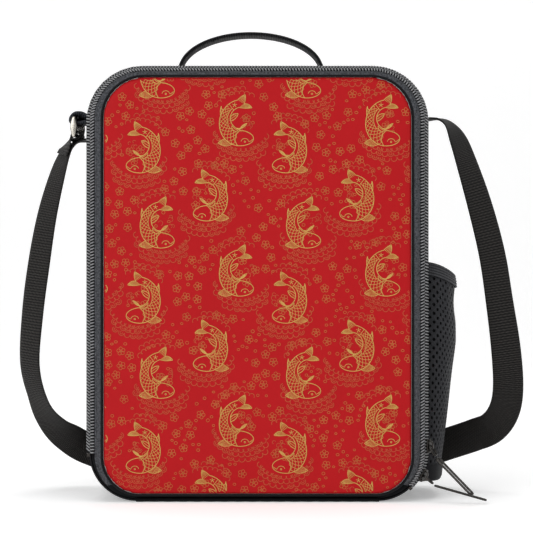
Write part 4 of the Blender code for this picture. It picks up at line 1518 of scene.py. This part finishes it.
def pocket_place(u, z, inset, gather=0.0):
    """A point round the pocket at height z: u runs from the front seam to the back seam."""
    angle = pi * u
    middle = (net_low.y + net_high.y) / 2
    half = (net_high.y - net_low.y) / 2 - inset
    out = max(pocket_bulge(z) - inset, 0.0) * max(0.0, sin(angle)) ** 0.7
    return Vector((net_low.x + out - gather * sin(angle), middle - half * cos(angle), z))


def mouth_dip(u):
    """How far the pocket's mouth hangs lower at its outermost point than at its seams."""
    return MOUTH_DIP * max(0.0, sin(pi * u)) ** 1.2


def net_folds(u, z):
    """Soft upright folds under the elastic that fade out downwards."""
    below = net_high.z - z
    pleats = (0.5 + 0.5 * cos(u * pi * 16)) * max(0.0, 1 - below / 0.045)
    slack = noise.noise(Vector((u * 5.0, z * 24.0, 2.0))) + 0.5
    waist = sin(pi * min(1.0, below / 0.024))
    return (pleats + slack + waist) * FOLD_DEPTH


spacer = Finish("spacer_mesh", (0.014, 0.0145, 0.016), 0.66, Sheen_Weight=0.03, Specular_IOR_Level=0.14)
knit = spacer.cloud(spacer.place(), 2400.0, 3.0)
spacer.paint(knit, (0.002, 0.002, 0.003), (0.050, 0.051, 0.056))
spacer.relief(knit, 0.00012)


def net(name, columns, rows, place):
    """Mesh cloth laid through place(u, v). Every other cell is inset and its middle deleted, and the
    holes that are left are rounded."""
    piece = band(name, columns, rows, lambda u, v: Vector((u, v, 0.0)))
    holes = []
    for face in piece.data.polygons:
        holes.append((int(face.center.x * columns) + int(face.center.y * rows)) % 2 == 0)
    for vertex in piece.data.vertices:
        vertex.co = place(vertex.co.x, vertex.co.y)
    take(piece)
    bpy.ops.object.mode_set(mode="EDIT")
    bpy.ops.mesh.select_mode(type="FACE")
    bpy.ops.mesh.select_all(action="DESELECT")
    bpy.ops.object.mode_set(mode="OBJECT")
    for face, hole in zip(piece.data.polygons, holes):
        face.select = hole
    bpy.ops.object.mode_set(mode="EDIT")
    bpy.ops.mesh.inset(thickness=NET_THREAD, use_individual=True, use_even_offset=False)
    bpy.ops.mesh.delete(type="FACE")
    bpy.ops.object.mode_set(mode="OBJECT")
    apply(piece, "SUBSURF", levels=1)
    apply(piece, "SOLIDIFY", thickness=NET_THICK, offset=0.0)
    piece.data.shade_smooth()
    return piece


arc_length = length_of([pocket_place(step / 60, net_high.z, 0) for step in range(61)])
net_columns = int(arc_length / NET_CELL)
net_rows = int((net_high.z - net_low.z) / NET_CELL)


def hang(low_shift, high_shift, inset):
    """A layer of the pocket, as place(u, v), that hangs in the same folds as the others."""

    def place(u, v):
        z = net_low.z + low_shift + (net_high.z + high_shift - net_low.z) * v
        point = pocket_place(u, z, inset, net_folds(u, z))
        point.z -= mouth_dip(u) * v**1.5
        return point

    return place


bottle_net = net("bottle_pocket_net", net_columns, net_rows, hang(-0.0005, 0.0008, 0.0010))
dress(bottle_net, spacer, "bag", "mesh_net", "bottle_pocket_mesh")
backing = band("bottle_pocket_backing", 80, 40, hang(0.0005, -0.0005, 0.0018), 0.0003)
backing_knit = Finish("pocket_backing", (0.006, 0.006, 0.007), 0.8, Specular_IOR_Level=0.10)
backing_fuzz = backing_knit.cloud(backing_knit.place(), 1800.0, 2.0)
backing_knit.paint(backing_fuzz, (0.003, 0.003, 0.0035), (0.012, 0.012, 0.013))
backing_knit.relief(backing_fuzz, 0.00010)
dress(backing, backing_knit, "bag", "mesh_net")

RIBS = 5
elastic_cloth = Finish(
    "ribbed_elastic", (0.020, 0.021, 0.023), 0.60, Sheen_Weight=0.03, Specular_IOR_Level=0.14
)
rib_u, rib_v, _ = elastic_cloth.axes(elastic_cloth.place("UV"))
elastic_knit = elastic_cloth.cloud(elastic_cloth.place(), 1500.0, 2.0)
# The band is painted dark in the grooves between its ribs and light on their crests: painted shade and
# highlight, with the knit's random tone.
painted_rib_shading = (rib_v * (pi * RIBS)).sine().size()
elastic_cloth.paint(painted_rib_shading * 0.75 + elastic_knit * 0.6 - 0.25, (0.004, 0.004, 0.005), (0.075, 0.076, 0.082))
elastic_cloth.relief((rib_u * 520.0).sine() * 0.5 + elastic_knit, 0.00014)


def elastic_place(u, v):
    z = elastic_low.z + (elastic_high.z - elastic_low.z) * v
    rib = 0.00055 * abs(sin(pi * RIBS * v)) - 0.0002
    pucker = 0.00018 * sin(u * 150.0)
    middle = max(0.0, sin(pi * u))
    lean_in = 0.0012 * v**2 + 0.0004
    point = pocket_place(u, z, 0.0)
    point.z -= mouth_dip(u)
    return point + Vector(((rib + pucker - lean_in) * middle, -(rib * cos(pi * u)) * middle, 0.0))


elastic = band("pocket_elastic_band", 260, 36, elastic_place, 0.0012)
dress(elastic, elastic_cloth, "bag", "elastic", "pocket_elastic")
FOOT_WALL = 0.0105


def foot_place(u, v):
    if v < 0.5:
        edge = pocket_place(u, POCKET_BOTTOM, 0.0008)
        seam = Vector((net_low.x, edge.y * 0.96, POCKET_BOTTOM))
        point = seam.lerp(edge, v * 2)
        point.z += 0.0006 * (1 - (abs(v - 0.5) * 2) ** 0.3)
        return point
    rise = (v - 0.5) * 2
    z = POCKET_BOTTOM + FOOT_WALL * rise
    return pocket_place(u, z, -0.0001 + 0.0008 * (1 - min(1.0, rise * 4)) ** 2)


foot = band("pocket_foot", 90, 20, foot_place, 0.0008)
dress(foot, oxford, "bag", "black_cloth", "pocket_base")


# ------------------------------------------------------------------------------------------------
# Lid pocket: a flat net pocket inside the lid with a bound mouth, for a spoon or an ice pack.
# Sewn to the lining along its sides and bottom.
# ------------------------------------------------------------------------------------------------
lid_net_low, lid_net_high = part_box("lid_pocket_mesh")
mouth_low, mouth_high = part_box("lid_pocket_binding")
lid_net_columns = int((lid_net_high.x - lid_net_low.x) / NET_CELL)
lid_net_rows = int((lid_net_high.z - lid_net_low.z) / NET_CELL)


def lid_net_place(u, v):
    x = lid_net_low.x + (lid_net_high.x - lid_net_low.x) * u
    z = lid_net_low.z + (lid_net_high.z - lid_net_low.z + 0.0006) * v
    slack = (noise.noise(Vector((x * 30, 1.0, z * 30))) + 0.4) * 0.0008
    edge = min(1.0, 6 * min(u, 1 - u), 6 * v)
    return Vector((x, (lid_net_low.y + lid_net_high.y) / 2 + slack * edge, z))


lid_net = net("lid_pocket_net", lid_net_columns, lid_net_rows, lid_net_place)
dress(lid_net, spacer, "lid", "mesh_net", "lid_pocket_mesh")


def mouth_place(u, v):
    middle, half = (mouth_low + mouth_high) / 2, (mouth_high - mouth_low) / 2
    turn = 2 * pi * v
    z = middle.z + half.z * square_off(cos(turn), 0.5)
    return Vector((mouth_low.x + 2 * half.x * u, middle.y + half.y * sin(turn), z))


mouth = close_ends(band("lid_pocket_mouth", 120, 16, mouth_place, joined=True))
dress(mouth, piping_cloth, "lid", "edge_cord", "lid_pocket_binding")


# ------------------------------------------------------------------------------------------------
# Sliders and pulls: gun-metal zinc sliders with a bridge, each with a wire link and a long wire pull.
# Cast and plated, with a smoky, mottled tone.
# ------------------------------------------------------------------------------------------------
SLIDER_LENGTH = 0.0086
SLIDER_PLATE = 0.0012
SLIDER_FRONT_HALF = 0.0024
SLIDER_BACK_HALF = 0.0036
BRIDGE_RISE = 0.0030
BRIDGE_REACH = 0.0032
LINK_LENGTH = 0.0080
PULL_LENGTH = 0.0345
PULL_WIDTH = 0.0050
PULL_WIRE = 0.0013
ROW_FACE = Vector((BODY_ROW, 0.0040)).normalized()

gunmetal = Finish("gunmetal", (0.050, 0.046, 0.043), 0.30, Metallic=1.0)
smoke = gunmetal.cloud(gunmetal.place(), 700.0, 4.0)
gunmetal.paint(smoke, (0.010, 0.0095, 0.009), (0.085, 0.079, 0.073))
gunmetal.feed("Roughness", smoke * 0.3 + 0.14)
gunmetal.relief(smoke, 0.00004)
coat(gunmetal, "zipper_stop_left", "zipper_stop_right")


def chain_frame(turned):
    """Across the chain towards the lid, out of the bag, and up along the chain."""
    turn = Matrix.Rotation(turned, 3, "Y")
    across = turn @ Vector((-ROW_FACE.x, -ROW_FACE.y, 0.0))
    out = turn @ Vector((ROW_FACE.y, -ROW_FACE.x, 0.0))
    return across, out, turn @ Vector((0.0, 0.0, 1.0))


def slider_outline(share):
    """Half width of a slider's plate: narrow at its tail, full at the shoulders, a little less in front."""
    stops = ((-1.0, 0.62), (-0.55, 1.0), (0.45, 1.0), (1.0, 0.72))
    for (a, wide_a), (b, wide_b) in zip(stops, stops[1:]):
        if share <= b:
            t = (share - a) / (b - a)
            t = t * t * (3 - 2 * t)
            return wide_a + (wide_b - wide_a) * t
    return stops[-1][1]


def make_slider(name, centre, turned, body):
    """A slider's plate and bridge at a point of the chain. It gives back the middle of its bridge."""
    across, out, along = chain_frame(turned)
    local = Matrix((across, out, along)).transposed().to_4x4()
    local.translation = centre + out * GAP

    def plate_place(u, v):
        share = 2 * v - 1
        narrow = slider_outline(share)
        x = -SLIDER_BACK_HALF * narrow + (SLIDER_FRONT_HALF + SLIDER_BACK_HALF) * narrow * u
        dome = SLIDER_PLATE - 0.00035 * (abs(2 * u - 1) ** 3) - 0.00025 * abs(share) ** 4
        return local @ Vector((x, dome, share * SLIDER_LENGTH / 2))

    plate = band(name + "_plate", 12, 16, plate_place, 0.0009)
    apply(plate, "BEVEL", width=0.00022, segments=2, limit_method="ANGLE")
    rise = SLIDER_PLATE + BRIDGE_RISE
    foot = SLIDER_PLATE * 0.6
    arch = []
    for step in range(25):
        angle = pi - pi * step / 24
        height = foot + (rise - foot) * sin(angle) ** 0.6 if 0 < step < 24 else foot
        arch.append(local @ Vector((0.0, height, -square_off(cos(angle), 0.55) * BRIDGE_REACH)))
    arch.reverse()
    bridge = ribbon(name + "_bridge", arch, [across] * len(arch), [0.0014] * len(arch), 0.0009, 14)
    dress(join_all(name, [plate, bridge]), gunmetal, body, "zipper_metal", body)
    return centre + out * (GAP + SLIDER_PLATE + BRIDGE_RISE * 0.5)


def wire_loop(name, length, local):
    """A flat oblong of round wire: its near end is at the local origin and it runs along local Y."""
    half = PULL_WIDTH / 2 - PULL_WIRE / 2
    corner = half * 0.80
    far = length - PULL_WIRE - corner
    wire = PULL_WIRE * 0.58
    middle = []
    for centre_x, centre_y, begin in (
        (half - corner, far, 0.0),
        (corner - half, far, 0.5 * pi),
        (corner - half, corner, pi),
        (half - corner, corner, 1.5 * pi),
    ):
        for step in range(7):
            angle = begin + pi / 2 * step / 6
            middle.append(Vector((centre_x + corner * cos(angle), centre_y + corner * sin(angle), 0.0)))
    middle.append(middle[0])

    def place(u, v):
        position = u * (len(middle) - 1)
        index = int(round(position)) % (len(middle) - 1)
        before, after = middle[index - 1 if index else len(middle) - 2], middle[index + 1]
        along = (after - before).normalized()
        outward = Vector((along.y, -along.x, 0.0))
        turn = 2 * pi * v
        return local @ (middle[index] + outward * wire * cos(turn) + Vector((0, 0, 1)) * wire * sin(turn))

    piece = band(name, len(middle) - 1, 10, place, joined=True)
    return close_ends(piece)


def make_pull(suffix, pivot, turned, link_drop, bar_drop, splay):
    """A link and its pull, each as far below level as its drop says, and both turned by the splay."""
    across, out, along = chain_frame(turned)
    start = pivot
    for name, node, length, drop, yaw in (
        ("link_" + suffix, "pull_link_" + suffix, LINK_LENGTH, link_drop, splay / 2),
        ("pull_" + suffix, "pull_bar_" + suffix, PULL_LENGTH, bar_drop, splay),
    ):
        turn = Matrix.Rotation(yaw, 3, along)
        side = turn @ across
        reach = turn @ out * cos(drop) - along * sin(drop)
        local = Matrix((side, reach, side.cross(reach))).transposed().to_4x4()
        local.translation = start
        dress(wire_loop(name, length, local), gunmetal, "pull_" + suffix, "zipper_metal", node)
        start = pivot + reach * (length + PULL_WIRE / 2 + 2 * GAP)


chain_x = HALF_WIDTH - BODY_ROW / 2
chain_y = MEET_Y + 0.0020
LOWER_TURN = radians(28.0)
UPPER_HANG = (radians(58.0), radians(39.0), radians(-4.0))
LOWER_HANG = (radians(12.0), radians(-13.0), radians(22.0))
UPPER_SLIDER = Vector((chain_x, chain_y, 0.0360))
turn_radius = BASE_RADIUS - BODY_ROW / 2
LOWER_SLIDER = Vector(
    (chain_x - turn_radius * (1 - cos(LOWER_TURN)), chain_y, BASE_RADIUS - turn_radius * sin(LOWER_TURN))
)
upper_pivot = make_slider("slider_top", UPPER_SLIDER, 0.0, "slider_upper")
lower_pivot = make_slider("slider_bottom", LOWER_SLIDER, LOWER_TURN, "slider_lower")
make_pull("upper", upper_pivot, 0.0, *UPPER_HANG)
make_pull("lower", lower_pivot, LOWER_TURN, *LOWER_HANG)
